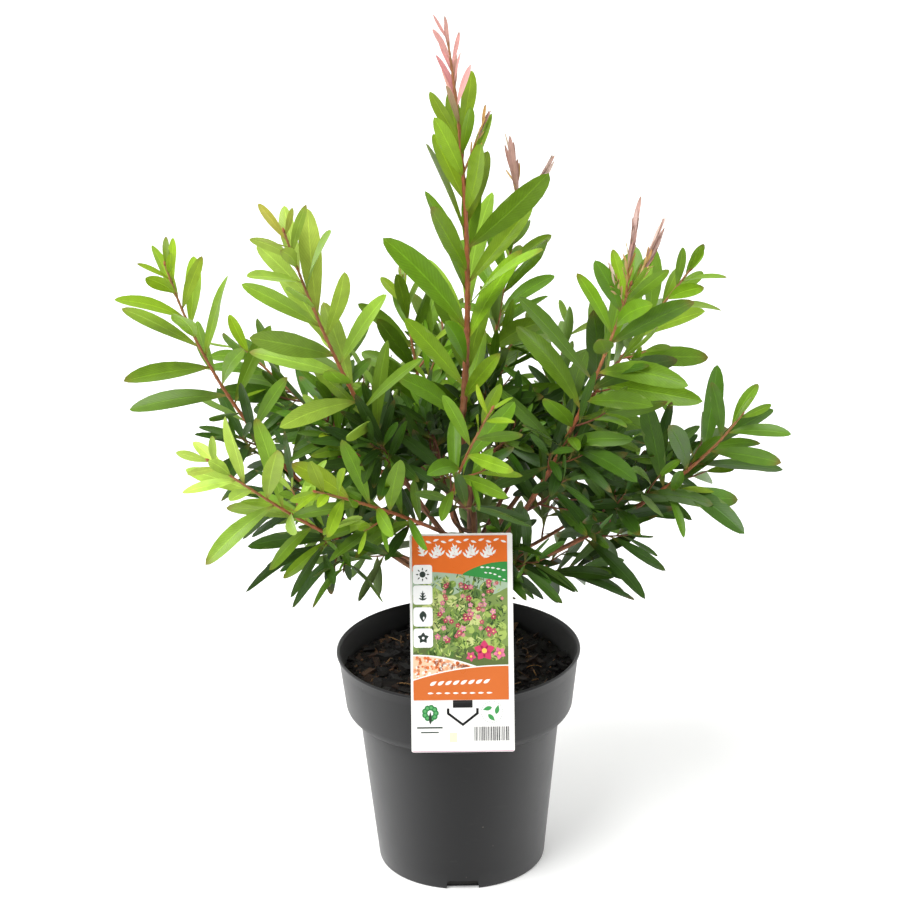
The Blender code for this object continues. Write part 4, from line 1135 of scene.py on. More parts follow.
@dataclass
class Shrub:
    """The shrub: trunk, boughs, stems, twigs, leaves, buds and tufts."""

    foot: Point = (1.0, 0.0, 160.0)  # Start of the trunk's curve, under the ground
    bend: Point = (22.0, 0.0, 280.0)
    top: Point = (6.0, 0.0, 380.0)
    ground: float = 167.0  # Height of the ground at the trunk
    trunk_radius: Pair = (5.4, 2.9)  # Above the root flare, and at the top
    flare: float = 4.2
    flare_fade: float = 9.0
    # Turns that a leaf tries, to stay clear of the label
    turns: tuple[float, ...] = (0.0, 16.0, -16.0, 32.0, -32.0, 60.0, -60.0)
    # Height that no leaf hangs below over the pot's middle, and its change along Y
    hem: Pair = (224.0, -0.42)
    step: float = 1.6  # Length of a tube's pieces
    # Colours of a limb from the trunk to its tip
    wood_tints: tuple[str, ...] = ("#7d6552", "#8e6446", "#9c5733", "#a65e38", "#a87849")
    crown_shade: float = 0.42  # Factor on the colour of the twigs inside the crown: painted shade
    ages: float = 0.18  # Spread of the leaves' age about their place along the stem
    # Spread of the place where the young colour begins, and half of its soft edge
    flushed: Pair = (0.02, 0.04)
    lightness: Pair = (0.06, 0.17)  # Mean and spread of the leaves' lightness, as powers of e
    hues: Point = (0.07, 0.0, 0.06)  # Spread of red, green and blue about a leaf's colour
    blade: LeafShape = LeafShape()
    # Shape of a twig's leaves
    small_blade: LeafShape = LeafShape(stations=(0.0, 0.06, 0.20, 0.38, 0.56, 0.72, 0.86, 0.955))
    wood: Twiggy = Twiggy()
    bud: float = 4.6
    bud_tint: str = "#9a5a34"

    def __post_init__(self) -> None:
        """Work out every limb's curve from its parent's."""
        self.curves = {"trunk": tuple(np.array(p) for p in (self.foot, self.bend, self.top))}
        for limb in LIMBS:
            start = bezier(self.curves[limb.parent], limb.fork)
            self.curves[limb.name] = (start, np.array(limb.bend), np.array(limb.tip))

    def line(self, limb: Limb, first: float, last: float = 1.0) -> Line:
        """A stretch of a limb, in pieces of about one step."""
        curve = self.curves[limb.name]
        count = max(12, math.ceil(Line.of(curve, first, last).run[-1] / self.step))
        return Line.of(curve, first, last, count)

    def radius(self, limb: Limb, share: Array | float) -> Array:
        """Radius at a share of a limb's curve: an even taper to its tip."""
        return limb.radius + (RULE.tip_radius - limb.radius) * np.asarray(share)

    def wood_tint(self, age: Array) -> Array:
        """Linear colour of the wood from 0 at the trunk to 1 at a tip."""
        return blend(age, np.linspace(0.0, 1.0, len(self.wood_tints)), self.wood_tints)

    def tinted(self, leaves: Leaves, limb: Limb, rng: Draws, younger: float = 0.0) -> Leaves:
        """Deal out colours: older to younger along the stem, its flush at the tip, and a spread.

        Args:
            leaves: The leaves to colour.
            limb: Limb whose tones count.
            rng: Source of the spread.
            younger: Added to the age that the place along the stem gives.

        Returns:
            The same leaves, coloured.
        """
        count = len(leaves.share)
        age = np.clip(leaves.share + younger + rng.normal(0.0, self.ages, count), 0.0, 1.0)[:, None]
        old, new, young = (linear(tone.value) for tone in (*limb.tones, limb.young))
        green = old + (new - old) * age
        spread, edge = self.flushed
        place = leaves.share + rng.normal(0.0, spread, count)
        flush = smooth(place, limb.flush - edge, limb.flush + edge)
        tint = green + (young - green) * flush[:, None]
        leaves.width = leaves.width * limb.slim * (1.0 - limb.narrow * flush)
        tint = tint * np.exp(rng.normal(*self.lightness, (count, 1)))
        tint = tint * (1.0 + rng.normal(0.0, 1.0, (count, 1)) * np.array(self.hues))
        leaves.tint = np.clip(tint, 0.004, 0.9)
        return leaves

    def trunk(self) -> Skin:
        """The trunk's tube with its root flare, from just under the ground."""
        skin = Skin()
        line = Line.of(self.curves["trunk"], 0.0, 1.0, 150)
        share = np.linspace(0.0, 1.0, 150)
        keep = line.points[:, 2] > self.ground - 0.8
        above = np.maximum(line.points[:, 2] - self.ground, 0.0)
        radius = self.trunk_radius[0] + (self.trunk_radius[1] - self.trunk_radius[0]) * share
        radius = radius + self.flare * np.exp(-above / self.flare_fade)
        line = Line(line.points[keep], line.run[keep] - line.run[keep][0])
        tint = self.wood_tint(0.45 * share[keep])
        self.wood.tube(skin, line, radius[keep], 28, tint, relief=0.07, seed=2, strip=2.8)
        return skin

    def boughs(self) -> Skin:
        """The bare boughs, each from inside its parent to where its leaves begin."""
        skin = Skin()
        for number, limb in enumerate(LIMBS):
            if not limb.bough:
                continue
            line = self.line(limb, 0.0, limb.leafy)
            share = np.linspace(0.0, limb.leafy, len(line.run))
            tint = self.wood_tint(0.15 + 0.75 * share)
            self.wood.tube(
                skin, line, self.radius(limb, share), 14, tint, relief=0.06, seed=number + 5, strip=1.8
            )
        return skin

    def clear(self, leaves: Leaves, label: "Label", limb: Limb) -> Leaves:
        """Turn leaves that would cross or hide the label round their stem, or leave them out."""
        kept = np.zeros(len(leaves.length), bool)
        base = leaves.turn.copy()
        for swing in np.radians(self.turns):
            trial = replace(leaves, turn=np.where(kept, leaves.turn, base + swing))
            free = ~label.crossed_by(trial, limb.name not in label.veil)
            middle = trial.middles(np.array((0.6, 1.0)))
            free &= (middle[..., 2] > self.hem[0] + self.hem[1] * middle[..., 1]).all(1)
            leaves.turn = trial.turn
            kept |= free
        return leaves.pick(kept)

    def foliage(self, label: "Label") -> tuple[dict[str, Skin], Skin]:
        """Skins of leaves by limb, and one skin of all stems and twigs; all clear of the label."""
        leaves_of, stems = {}, Skin()
        for number, limb in enumerate(LIMBS):
            hue, fine = np.random.default_rng(1000 + number), np.random.default_rng(2000 + number)
            leaves_of[limb.name] = Skin()
            self.mass(number, limb, Growth(leaves_of[limb.name], stems, hue, fine, label))
        return leaves_of, stems

    def mass(self, number: int, limb: Limb, growth: Growth) -> None:
        """Add one limb's stem with its leaves, its twigs, the finer ones, and the inner shoots."""
        rng = np.random.default_rng(limb.seed)
        first = limb.leafy if limb.bough else 0.0
        line = Line.of(self.curves[limb.name], limb.leafy, 1.0)
        own = RULE.leaves(line, limb, rng, limb.leaf, limb.gap, RULE.bare, limb.phase, limb.hand)
        own = self.tinted(own, limb, growth.hue)
        self.blade.lay(self.clear(own, growth.label, limb), growth.blades, growth.fine)
        whole = self.line(limb, first)
        share = np.linspace(first, 1.0, len(whole.run))
        scars = whole.run[-1] - line.run[-1] + own.share * line.run[-1]
        # Painted shade: the stems of the limbs inside the crown are darkened
        bark = self.wood_tint(0.3 + 0.7 * share) * (self.crown_shade if limb.tones[0] is Tone.SHADE else 1.0)
        self.wood.tube(
            growth.stems, whole, self.radius(limb, share), 9, bark,
            relief=0.03, seed=number + 40, strip=1.4, scars=scars,
        )
        size, gap = RULE.twig_leaf * limb.leaf, RULE.twig_gap * limb.gap
        for k in range(limb.twigs):
            curve = RULE.twig(line, limb, rng, k, limb.twig)
            self.spray(curve, limb, rng, growth, size, gap, limb.phase + 90.0 * k)
        # The finer twigs of a limb without a bare bough begin close to its parent
        inner = not limb.bough
        size, gap = RULE.finer_leaf[inner] * limb.leaf, RULE.finer_gap * limb.gap
        for k in range(limb.finer):
            place = (k + 0.5) * max(limb.twigs, 1) / limb.finer
            along = np.interp((k + 0.5) / limb.finer, (0.0, 1.0), RULE.finer_run)
            curve = RULE.twig(
                whole if inner else line, limb, growth.fine, place, RULE.finer_twig[inner] * limb.twig,
                along if inner else None,
            )
            phase = limb.phase + 140.0 * k
            self.spray(curve, limb, growth.fine, growth, size, gap, phase, RULE.slender)
        # Painted shade: the shoots on the bough, inside the crown, take the darkest tones
        shaded = replace(limb, tones=(Tone.SHADE, Tone.DEEP), young=Tone.DEEP)
        bough = Line.of(self.curves[limb.name])
        size, gap = RULE.inside_leaf, RULE.inside_gap
        for k in range(limb.inside):
            along = np.interp((k + 0.5) / limb.inside, (0.0, 1.0), (RULE.inside_from, limb.leafy))
            curve = RULE.twig(bough, limb, growth.fine, k % 3, RULE.inside_twig, along)
            phase = limb.phase + 75.0 * k
            self.spray(curve, shaded, growth.fine, growth, size, gap, phase, RULE.slender)

    def spray(
        self, curve: Curve, limb: Limb, rng: Draws, growth: Growth,
        size: float, gap: float, phase: float, slender: float = 1.0,
    ) -> None:
        """One twig with its leaves.

        Args:
            curve: Start, bend and tip of the twig.
            limb: Limb whose numbers count.
            rng: Source of the leaves' draws.
            growth: Where they go.
            size: Length of a full leaf.
            gap: Distance between leaves.
            phase: Direction of the first leaf.
            slender: Factor on the leaves' width.
        """
        line = Line.of(curve, count=20)
        leaves = RULE.leaves(line, limb, rng, size, gap, RULE.twig_bare, phase, -limb.hand)
        leaves.width = slender * leaves.width
        leaves = self.tinted(leaves, limb, growth.hue, younger=0.1)
        self.small_blade.lay(self.clear(leaves, growth.label, limb), growth.blades, growth.fine)
        # Painted shade: the twigs of the darker limbs are darkened
        shaded = limb.tones[0] in (Tone.SHADE, Tone.DEEP)
        bark = self.wood_tint(np.linspace(0.6, 1.0, 20)) * (self.crown_shade if shaded else 1.0)
        self.wood.tube(growth.stems, line, np.linspace(*RULE.twig_radius, 20), 7, bark, seed=1)

    def tuft(self, tuft: Tuft, skin: Skin, stems: Skin) -> None:
        """Add a flush of new growth: bracts and closed leaves to one skin, its stalk to another."""
        limb = next(other for other in LIMBS if other.name == tuft.limb)
        rng = np.random.default_rng(tuft.seed)
        root = bezier(self.curves[tuft.limb], tuft.share)
        aim = unit(np.array(tuft.aim))
        stalk = tuft.reach - 0.85 * tuft.leaf
        side = 0.06 * stalk * rng.normal(0.0, 1.0, 3)
        line = Line.of((root, root + 0.5 * stalk * aim + side, root + stalk * aim), count=14)
        for first, last, count, length, slim, spread, tones in (
            (0.22, 0.95, tuft.count[0], tuft.bract, 0.13, (26.0, 12.0), (tuft.papery, Tone.CREAM)),
            (0.55, 1.0, tuft.count[1], tuft.leaf, 0.10, (5.0, 2.0), (tuft.young, Tone.BLUSH)),
        ):
            share = np.linspace(first, last, count)
            heading = line.heading(share * line.run[-1])
            face = RULE.face_of(limb)
            near, aside = RULE.sides(heading, face)
            size = length * np.exp(rng.normal(0.0, 0.16, count))
            opened = spread[0] + (spread[1] - spread[0]) * share
            dark, light = (linear(tone.value) for tone in tones)
            leaves = Leaves(
                root=line.at(share * line.run[-1]), heading=heading, near=near, aside=aside,
                turn=GOLDEN * np.arange(count) + rng.normal(0.0, 0.3, count),
                spread=np.radians(opened * np.exp(rng.normal(0.0, 0.25, count))),
                length=size, width=np.maximum(size * slim, 1.1), twist=rng.normal(0.0, 0.6, count),
                sag=np.full(count, 0.05), face=np.broadcast_to(face, heading.shape), share=share,
                tint=dark + rng.uniform(0.0, 1.0, (count, 1)) ** 2 * (light - dark),
            )
            self.small_blade.lay(leaves, skin, rng)
        tint = linear(tuft.papery.value) * np.array((0.75, 0.55, 0.5))
        radius = np.linspace(1.0, 0.45, 14)
        self.wood.tube(stems, line, radius, 7, np.repeat(tint[None], 14, 0), seed=3)

    def buds(self) -> Skin:
        """A small scaly bud at the tip of each stem: a spindle that swells and then narrows."""
        skin = Skin()
        t = np.linspace(0.0, 1.0, 9)
        radius = 0.7 + 0.75 * np.sin(math.pi * t**0.8) - 0.6 * t
        tint = np.repeat(linear(self.bud_tint)[None], 9, 0) * (1.0 + 0.35 * t[:, None])
        for number, limb in enumerate(LIMBS):
            curve = self.curves[limb.name]
            heading = unit(curve[2] - bezier(curve, 0.98))
            tip, half = curve[2], 0.5 * self.bud * heading
            line = Line.of((tip, tip + half, tip + self.bud * heading), count=9)
            self.wood.tube(skin, line, radius, 9, tint, relief=0.12, seed=number + 90, strip=0.9)
        return skin

    def dress(self, label: "Label") -> list[bpy.types.Object]:
        """Build and dress every piece of the shrub, whose leaves stay clear of the label."""
        bark, young_bark = Bark().material(), Bark(
            name="smooth_young_bark", dark="#7a3d20", strip=0.7, run=9.0, contrast=0.4, roughness=0.5
        ).material()
        trunk = self.trunk().build("trunk_bark", bark)
        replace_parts(trunk, "trunk")
        boughs = self.boughs().build("bough_bark", bark)
        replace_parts(boughs, *[f"bough_{limb.name}" for limb in LIMBS if limb.bough])
        leaves_of, stems = self.foliage(label)
        for tuft in TUFTS:
            self.tuft(tuft, leaves_of[tuft.limb], stems)
        masses = [f"mass_{limb.name}" for limb in LIMBS]
        twigs = stems.build("stems_and_twigs", young_bark)
        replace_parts(twigs, *masses)
        buds = self.buds().build("scaly_buds", young_bark)
        blade = LeafBlade().material()
        pieces = [trunk, boughs, twigs, buds]
        for name, members in CROWN.items():
            joined = Skin()
            for member in members:
                joined.join(leaves_of[member])
            leaves = joined.build(f"leaves_{name}", blade)
            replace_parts(leaves, *[f"mass_{member}" for member in members])
            pieces.append(leaves)
        return pieces


# ---------------------------------------------------------------- pot and potting mix

@dataclass(frozen=True)
class Pot:
    """Moulded nursery pot: rolled lip, flared collar, curved step, tapering body, slotted foot."""

    rim: float = 100.0  # Radius of the lip's outside
    height: float = 187.0
    lip: float = 2.6
    stand: float = 1.6  # How far the lip stands out from the collar
    collar: float = 93.5  # Radius at the collar's foot
    collar_foot: float = 142.0  # Height of it
    body: float = 82.5  # Radius of the body under the step
    body_top: float = 132.0  # Height where the step ends
    base: float = 69.0
    wall: float = 1.8
    floor: float = 3.0
    slots: int = 3
    # Depth, width and height of the box that cuts a slot; half of it is below ground
    slot: Point = (16.0, 26.0, 16.0)
    shoulder: float = 2.5  # Radius of the round shoulders of a slot's top
    sides: int = 216
    crease: float = 38.0  # Angle from which an edge stays sharp

    def step(self, inset: float, lift: float, count: int = 12) -> Array:
        """The quarter curve from the body out to the collar.

        Formula: r = body - inset + (collar - body) cos a, z = collar foot + lift - rise sin a.
        """
        a = np.linspace(0.5 * math.pi, 0.0, count)
        radius = self.body - inset + (self.collar - self.body) * np.cos(a)
        height = self.collar_foot + lift - (self.collar_foot - self.body_top) * np.sin(a)
        return np.stack([radius, height], -1)

    def inner(self) -> Array:
        """Inner side of the wall from the floor up to the lip, as radius and height."""
        lean = (self.body - self.base) / self.body_top
        edge = self.base + lean * self.floor - self.wall
        rise = 0.6 * self.wall
        return np.concatenate([
            [[edge - 3.0, self.floor], [edge - 0.9, self.floor + 0.3], [edge + 0.1, self.floor + 1.4]],
            self.step(self.wall, rise),
            [[self.collar - self.wall + 0.05, self.collar_foot + rise + 1.0],
             [self.rim - self.stand - self.wall, self.height - self.lip],
             [self.rim - 2.45, self.height - 0.9]],
        ])

    def outer(self) -> Array:
        """Outer side from the foot up to the top of the lip."""
        foot = np.array([(-3.0, 0.0), (-1.2, 0.0), (-0.5, 0.25), (0.0, 0.9), (0.35, 2.4)])
        t = np.linspace(0.1, 1.0, 8)
        slope = np.stack([
            self.base + 0.36 + (self.body - self.base - 0.36) * t, 2.5 + (self.body_top - 4.0) * t
        ], -1)
        under, rise = self.rim - self.stand, self.height - self.lip - self.collar_foot
        t = np.linspace(0.0, 1.0, 7)
        collar = np.stack([
            self.collar + 0.2 + (under - self.collar - 0.2) * t, self.collar_foot + 1.6 + (rise - 2.4) * t
        ], -1)
        a = np.linspace(-0.45 * math.pi, 0.5 * math.pi, 10)
        half = 0.5 * self.lip
        lip = np.stack([self.rim - half + half * np.cos(a), self.height - half + half * np.sin(a)], -1)
        return np.concatenate([foot + (self.base, 0.0), slope, self.step(0.0, 0.0)[1:], collar, lip])

    def dress(self) -> bpy.types.Object:
        """Build the pot: a turned profile, with the foot's slots cut out."""
        # Centre rings keep the bottom and the floor from being one long fan
        profile = np.concatenate([
            [[20.0, 0.0], [48.0, 0.0]], self.outer(), self.inner()[::-1],
            [[44.0, self.floor], [16.0, self.floor]],
        ])
        skin = Skin()
        skin.close(turned(profile, self.sides), np.array(((0.0, 0.0, 0.0), (0.0, 0.0, self.floor))))
        pot = skin.build("nursery_pot", MouldedPolypropylene().material())
        self.cut(pot)
        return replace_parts(pot, "pot")

    def cutter(self) -> Skin:
        """The bodies that cut the slots: each a box that lies radially, with round shoulders."""
        deep, wide, high = self.slot
        half, soft = 0.5 * wide, self.shoulder
        y = np.clip(half * np.cos(np.linspace(0.0, math.pi, 13)) * 1.25, -half, half)
        z = 0.5 * high - soft * np.clip((np.abs(y) - half + soft) / soft, 0.0, 1.0) ** 2
        y, z = np.append(y, (-half, half))[:, None], np.append(z, (-9.0, -9.0))[:, None]
        skin = Skin()
        for k in range(self.slots):
            turn = math.radians(270.0 + 360.0 / self.slots * k)
            out = np.array((math.cos(turn), math.sin(turn), 0.0))
            side = np.array((-out[1], out[0], 0.0))
            ends = np.stack([
                (self.base + 2.0 + sign * 0.5 * deep) * out + y * side + z * -DOWN for sign in (-1.0, 1.0)
            ])
            skin.close(ends, np.stack([end.mean(0) for end in ends]))
        return skin

    def cut(self, pot: bpy.types.Object) -> None:
        """Cut the slots through the foot of the turned pot, whose mesh is replaced."""
        cutter = self.cutter().build("slot_cutter", pot.data.materials[0], smooth_shade=False)
        cut = pot.modifiers.new("slots", "BOOLEAN")
        cut.operation, cut.solver, cut.object = "DIFFERENCE", "EXACT", cutter
        graph = bpy.context.evaluated_depsgraph_get()
        mesh = bpy.data.meshes.new_from_object(pot.evaluated_get(graph))
        pot.modifiers.clear()
        bpy.data.objects.remove(cutter)
        pot.data = mesh
        mesh.set_sharp_from_angle(angle=math.radians(self.crease))


@dataclass(frozen=True)
class PottingMix:
    """Composted bark: a rough top with crumbs, chips and a few fibres."""

    level: float = 167.0  # Height of the ground
    swell: float = 1.5  # Height of the broad unevenness
    rough: float = 0.9  # Height of the crumbs
    calm: float = 18.0  # Radius round the trunk where the ground keeps its level
    edge: float = 94.3  # Radius of the mix at its top
    # Radius and height of its side, from the top down
    under: tuple[Pair, ...] = ((92.2, 150.0), (91.2, 144.4), (80.3, 132.6), (67.2, 4.0))
    grid: tuple[int, int] = (84, 240)  # Number of rings and of vertices in a ring
    earth: tuple[str, str] = ("#141110", "#231b15")  # Darkest and lightest colour of the ground
    chips: int = 620
    crumbs: int = 2600
    # Colours of chips and crumbs, at the marks
    chip_tints: tuple[str, ...] = ("#0d0a09", "#1f1610", "#543520", "#a3764a")
    marks: tuple[float, ...] = (0.0, 0.45, 0.85, 1.0)  # Shares of their range of shades
    fibres: int = 90
    fibre_tint: str = "#b98c58"
    seed: int = 31

    def height(self, place: Array) -> Array:
        """Height of the ground at points whose last axis starts with X and Y.

        Formula: level + (swell broad + rough fine) faded in from the trunk, less a dip at the
        wall; both ripples are sums of seeded sines.
        """
        flat = place[..., :2]
        radius = np.linalg.norm(flat, axis=-1)
        fade = smooth(radius, self.calm, self.calm + 20.0)
        bumps = self.swell * Ripple(46.0, 3).at(flat) + self.rough * Ripple(7.0, 8, octaves=2).at(flat)
        return self.level + bumps * (0.25 + 0.75 * fade) - 1.4 * smooth(radius, self.edge - 9.0, self.edge)

    def ground(self) -> Skin:
        """One closed body: the rough top, the wall under it, and the bottom."""
        rings, columns = self.grid
        radius = np.linspace(0.0, self.edge, rings + 1)[1:, None]
        top = turned(np.concatenate([radius, 0.0 * radius], 1), columns)
        top[..., 2] = self.height(top)
        rows = np.concatenate([turned(np.array(self.under), columns)[::-1], top[::-1]])
        poles = np.array(((0.0, 0.0, self.under[-1][1]), (0.0, 0.0, 0.0)))
        poles[1, 2] = self.height(poles[1:])[0]
        share = Ripple(13.0, 12).at(np.concatenate([rows.reshape(-1, 3), poles]))
        skin = Skin()
        skin.close(rows, poles, tint=blend(0.5 + 0.5 * share, (0.0, 1.0), self.earth))
        return skin

    def lumps(self) -> Skin:
        """Chips, crumbs and fibres: skewed boxes that lie on the ground at random tilts.

        Formula: corner = place + R (size / 2 (+-1 +-1 +-1) (1 + draw)), with R a random turn
        about Z and a small tilt.
        """
        skin = Skin()
        rng = np.random.default_rng(self.seed)
        total = self.chips + self.crumbs
        reach = self.edge - 3.5
        radius = np.sqrt(rng.uniform(0.02, 1.0, total)) * reach
        angle = rng.uniform(0.0, 2.0 * math.pi, total)
        chip = np.arange(total) < self.chips
        long = np.where(chip, 3.0 + 12.5 * rng.uniform(0.0, 1.0, total) ** 1.7, rng.uniform(0.9, 2.6, total))
        wide, high = long * rng.uniform(0.28, 0.7, total), long * rng.uniform(0.12, 0.32, total)
        size = np.stack([long, wide, high], -1)
        size[~chip, 1:] = long[~chip, None] * rng.uniform(0.5, 1.0, (self.crumbs, 2))
        radius = np.minimum(radius, self.edge - 0.6 * long)
        place = np.stack([radius * np.cos(angle), radius * np.sin(angle), np.zeros(total)], -1)
        place[:, 2] = self.height(place) + 0.3 * size[:, 2]
        corners = np.array([(x, y, z) for z in (-1, 1) for y in (-1, 1) for x in (-1, 1)], float)
        body = 0.5 * size[:, None] * corners * (1.0 + rng.uniform(-0.34, 0.34, (total, 8, 3)))
        turn = rng.uniform(0.0, 2.0 * math.pi, total)
        tilt = rng.normal(0.0, 0.35, (total, 2)) * np.where(chip, 1.0, 2.0)[:, None]
        along = unit(np.stack([np.cos(turn), np.sin(turn), tilt[:, 0]], -1))
        across = unit(np.stack([-np.sin(turn), np.cos(turn), tilt[:, 1]], -1))
        across = unit(across - dot(across, along) * along)
        axes = np.stack([along, across, np.cross(along, across)], 1)
        points = place[:, None] + np.einsum("nck,nkd->ncd", body, axes)
        box = np.array(((0, 2, 3, 1), (4, 5, 7, 6), (0, 1, 5, 4), (2, 6, 7, 3), (0, 4, 6, 2), (1, 3, 7, 5)))
        faces = (box[None] + 8 * np.arange(total)[:, None, None]).reshape(-1, 4)
        shade = rng.uniform(0.0, 1.0, total) ** np.where(chip, 1.6, 3.0)
        tint = blend(shade, self.marks, self.chip_tints)
        skin.add(points.reshape(-1, 3), faces, tint=np.repeat(tint, 8, axis=0))
        for _ in range(self.fibres):
            self.fibre(skin, rng, reach - 14.0)
        return skin

    def fibre(self, skin: Skin, rng: Draws, reach: float) -> None:
        """Add one bent fibre that rests on the ground, within a radius."""
        out, where = rng.uniform(12.0, reach), rng.uniform(0.0, 2.0 * math.pi)
        start = np.array((out * math.cos(where), out * math.sin(where), 0.0))
        heading = rng.uniform(0.0, 2.0 * math.pi)
        end = start + rng.uniform(5.0, 19.0) * np.array((math.cos(heading), math.sin(heading), 0.0))
        bend = 0.5 * (start + end) + rng.normal(0.0, 2.0, 3)
        for point, up in ((start, 0.9), (bend, 3.6), (end, 1.6)):
            point[2] = float(self.height(point[None])[0]) + up
        radius = np.full(8, rng.uniform(0.35, 0.8))
        tint = np.repeat(linear(self.fibre_tint)[None] * rng.uniform(0.3, 1.5), 8, 0)
        Twiggy().tube(skin, Line.of((start, bend, end), count=8), radius, 5, tint, seed=1)

    def dress(self) -> list[bpy.types.Object]:
        """Build the ground and what lies on it."""
        bark = CompostedBark().material()
        ground = self.ground().build("potting_mix_ground", bark)
        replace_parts(ground, "potting_mix")
        chips = CompostedBark(crumb=0.7, low="#0f0b09", name="bark_chips").material()
        lumps = self.lumps().build("bark_chips", chips, smooth_shade=False)
        return [ground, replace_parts(lumps, "potting_mix")]


# ---------------------------------------------------------------- label

@dataclass
class Label:
    """Card label on the lip with a generic print: bands, patches and plain leaf marks."""

    width: float = 81.0
    low: float = -40.2  # Its lower edge, from the lip
    high: float = 131.3
    borders: Point = (2.0, 4.2, 1.8)  # White edge left of the print, right of it and above it
    lean: float = 22.0  # Angle that it leans back
    roll: float = -0.4  # Turn in its own plane
    shift: float = 2.4  # Its middle, right of the pot's middle
    thick: float = 0.8
    bead: Pair = (1.3, 0.3)  # Radius of the pot's lip, and the card's distance from it
    hook: Pair = (-98.7, 185.7)  # Middle of the lip at the label, along Y and Z
    lift: float = 0.035  # Step between two layers of ink; drawn thicker than real to keep them apart
    sink: float = 0.1  # Depth of the ink's plates in the card, so that no gap shows
    pot: Pair = (104.0, 170.0)  # Radius and height of the pot's inside that leaves stay out of
    rim: Point = (99.0, 5.0, 189.0)  # Radius of the lip, half its width and its height, for the same
    veil: tuple[str, ...] = ("front_left",)  # Limbs whose leaves may hang in front of the card
    skin: Skin = field(default_factory=Skin)

    def __post_init__(self) -> None:
        """Work out where the card stands: its frame's origin and axes, in millimetres."""
        pitch, turn = math.radians(90.0 - self.lean), math.radians(self.roll)
        off = sum(self.bead) + 0.5 * self.thick
        y, z = self.hook
        self.seat = np.array((self.shift, y - off * math.sin(pitch), z + off * math.cos(pitch)))
        c, s = math.cos(pitch), math.sin(pitch)
        tip = np.array(((1, 0, 0), (0, c, -s), (0, s, c)))
        c, s = math.cos(turn), math.sin(turn)
        self.axes = tip @ np.array(((c, -s, 0), (s, c, 0), (0, 0, 1)))
        self.left, self.right = -0.5 * self.width + self.borders[0], 0.5 * self.width - self.borders[1]

    def crossed_by(self, leaves: Leaves, open_view: bool) -> Array:
        """Which leaves pass through the card or dip into the pot.

        Args:
            leaves: The leaves to test.
            open_view: Whether leaves in front of the card count too.

        Returns:
            One truth value for each leaf.
        """
        middle = leaves.middles(np.linspace(0.0, 1.0, 13))
        _, edge, _, _ = leaves.frame()
        half = 0.55 * leaves.width[:, None, None] * edge[:, None]
        hit = np.zeros(len(leaves.length), bool)
        for side in (-1.0, 0.0, 1.0):
            points = middle + side * half
            x, y, z = np.moveaxis((points - self.seat) @ self.axes, -1, 0)
            near = (np.abs(x) < 0.5 * self.width + 1.0) & (y > self.low) & (y < self.high + 1.5)
            front = z > 0.0
            crossing = (front[:, 1:] != front[:, :-1]) & near[:, 1:] & near[:, :-1]
            hit |= crossing.any(1) | (near & (np.abs(z) < 2.0 * self.thick)).any(1)
            hit |= (near & front & open_view).any(1)
            out, height = np.hypot(points[..., 0], points[..., 1]), points[..., 2]
            hit |= ((out < self.pot[0]) & (height < self.pot[1])).any(1)
            hit |= ((np.abs(out - self.rim[0]) < self.rim[1]) & (height < self.rim[2])).any(1)
        return hit

    def ink(self, outline: Array, colour: str, layer: int) -> None:
        """Add a patch of ink: a closed thin plate that is star-shaped about its middle.

        Args:
            outline: Its corners on the card, anticlockwise, (n, 2).
            colour: Its colour.
            layer: Layers of ink under it, from 1.
        """
        count = len(outline)
        bottom, top = 0.5 * self.thick - self.sink, 0.5 * self.thick + self.lift * layer
        middle = outline.mean(0)
        local = np.concatenate([
            np.column_stack([outline, np.full(count, bottom)]),
            np.column_stack([outline, np.full(count, top)]),
            [[*middle, bottom], [*middle, top]],
        ])
        points = self.seat + local @ self.axes.T
        self.skin.close(points[:-2].reshape(2, count, 3), points[-2:], tint=linear(colour))

    def band(self, x: Array, lower: Array, upper: Array, colour: str, layer: int) -> None:
        """Add a band of ink between two curves over x, as closed plates that share their edges.

        Args:
            x: Places across the card.
            lower: The lower curve: one height, or its heights at the places.
            upper: The upper curve, alike.
            colour: Its colour.
            layer: Layers of ink under it, from 1.
        """
        count = len(x)
        bottom, top = 0.5 * self.thick - self.sink, 0.5 * self.thick + self.lift * layer
        local = np.stack([
            np.stack(np.broadcast_arrays(x, y, z), -1)
            for y, z in ((lower, bottom), (upper, bottom), (upper, top), (lower, top))
        ], 1)
        end = 4 * (count - 1)
        faces = [grid_quads(count, 4), [[3, 2, 1, 0], [end, end + 1, end + 2, end + 3]]]
        points = self.seat + local.reshape(-1, 3) @ self.axes.T
        self.skin.add(points, np.concatenate(faces), tint=linear(colour))

    @staticmethod
    def round_box(left: float, bottom: float, right: float, top: float, corner: float) -> Array:
        """Outline of a box with round corners, anticlockwise from the right."""
        a = np.linspace(0.0, 0.5 * math.pi, 6)
        places = (
            (right - corner, top - corner), (left + corner, top - corner),
            (left + corner, bottom + corner), (right - corner, bottom + corner),
        )
        turns = [a + 0.5 * math.pi * k for k in range(4)]
        return np.concatenate([
            np.array(place) + corner * np.stack([np.cos(turn), np.sin(turn)], -1)
            for place, turn in zip(places, turns)
        ])

    @staticmethod
    def leaf(x: float, y: float, angle: float, length: float, slim: float = 0.3) -> Array:
        """Outline of a pointed leaf from its foot, anticlockwise.

        Formula: along = t length, across = slim length / 2 sin(pi t^0.8), out one side and
        back on the other.
        """
        t = np.linspace(0.0, 1.0, 9)
        half = 0.5 * slim * length * np.sin(math.pi * t**0.8)
        along, across = np.append(t, t[-2:0:-1]) * length, np.append(-half, half[-2:0:-1])
        c, s = math.cos(math.radians(angle)), math.sin(math.radians(angle))
        return np.array((x, y)) + np.stack([along * c - across * s, along * s + across * c], -1)

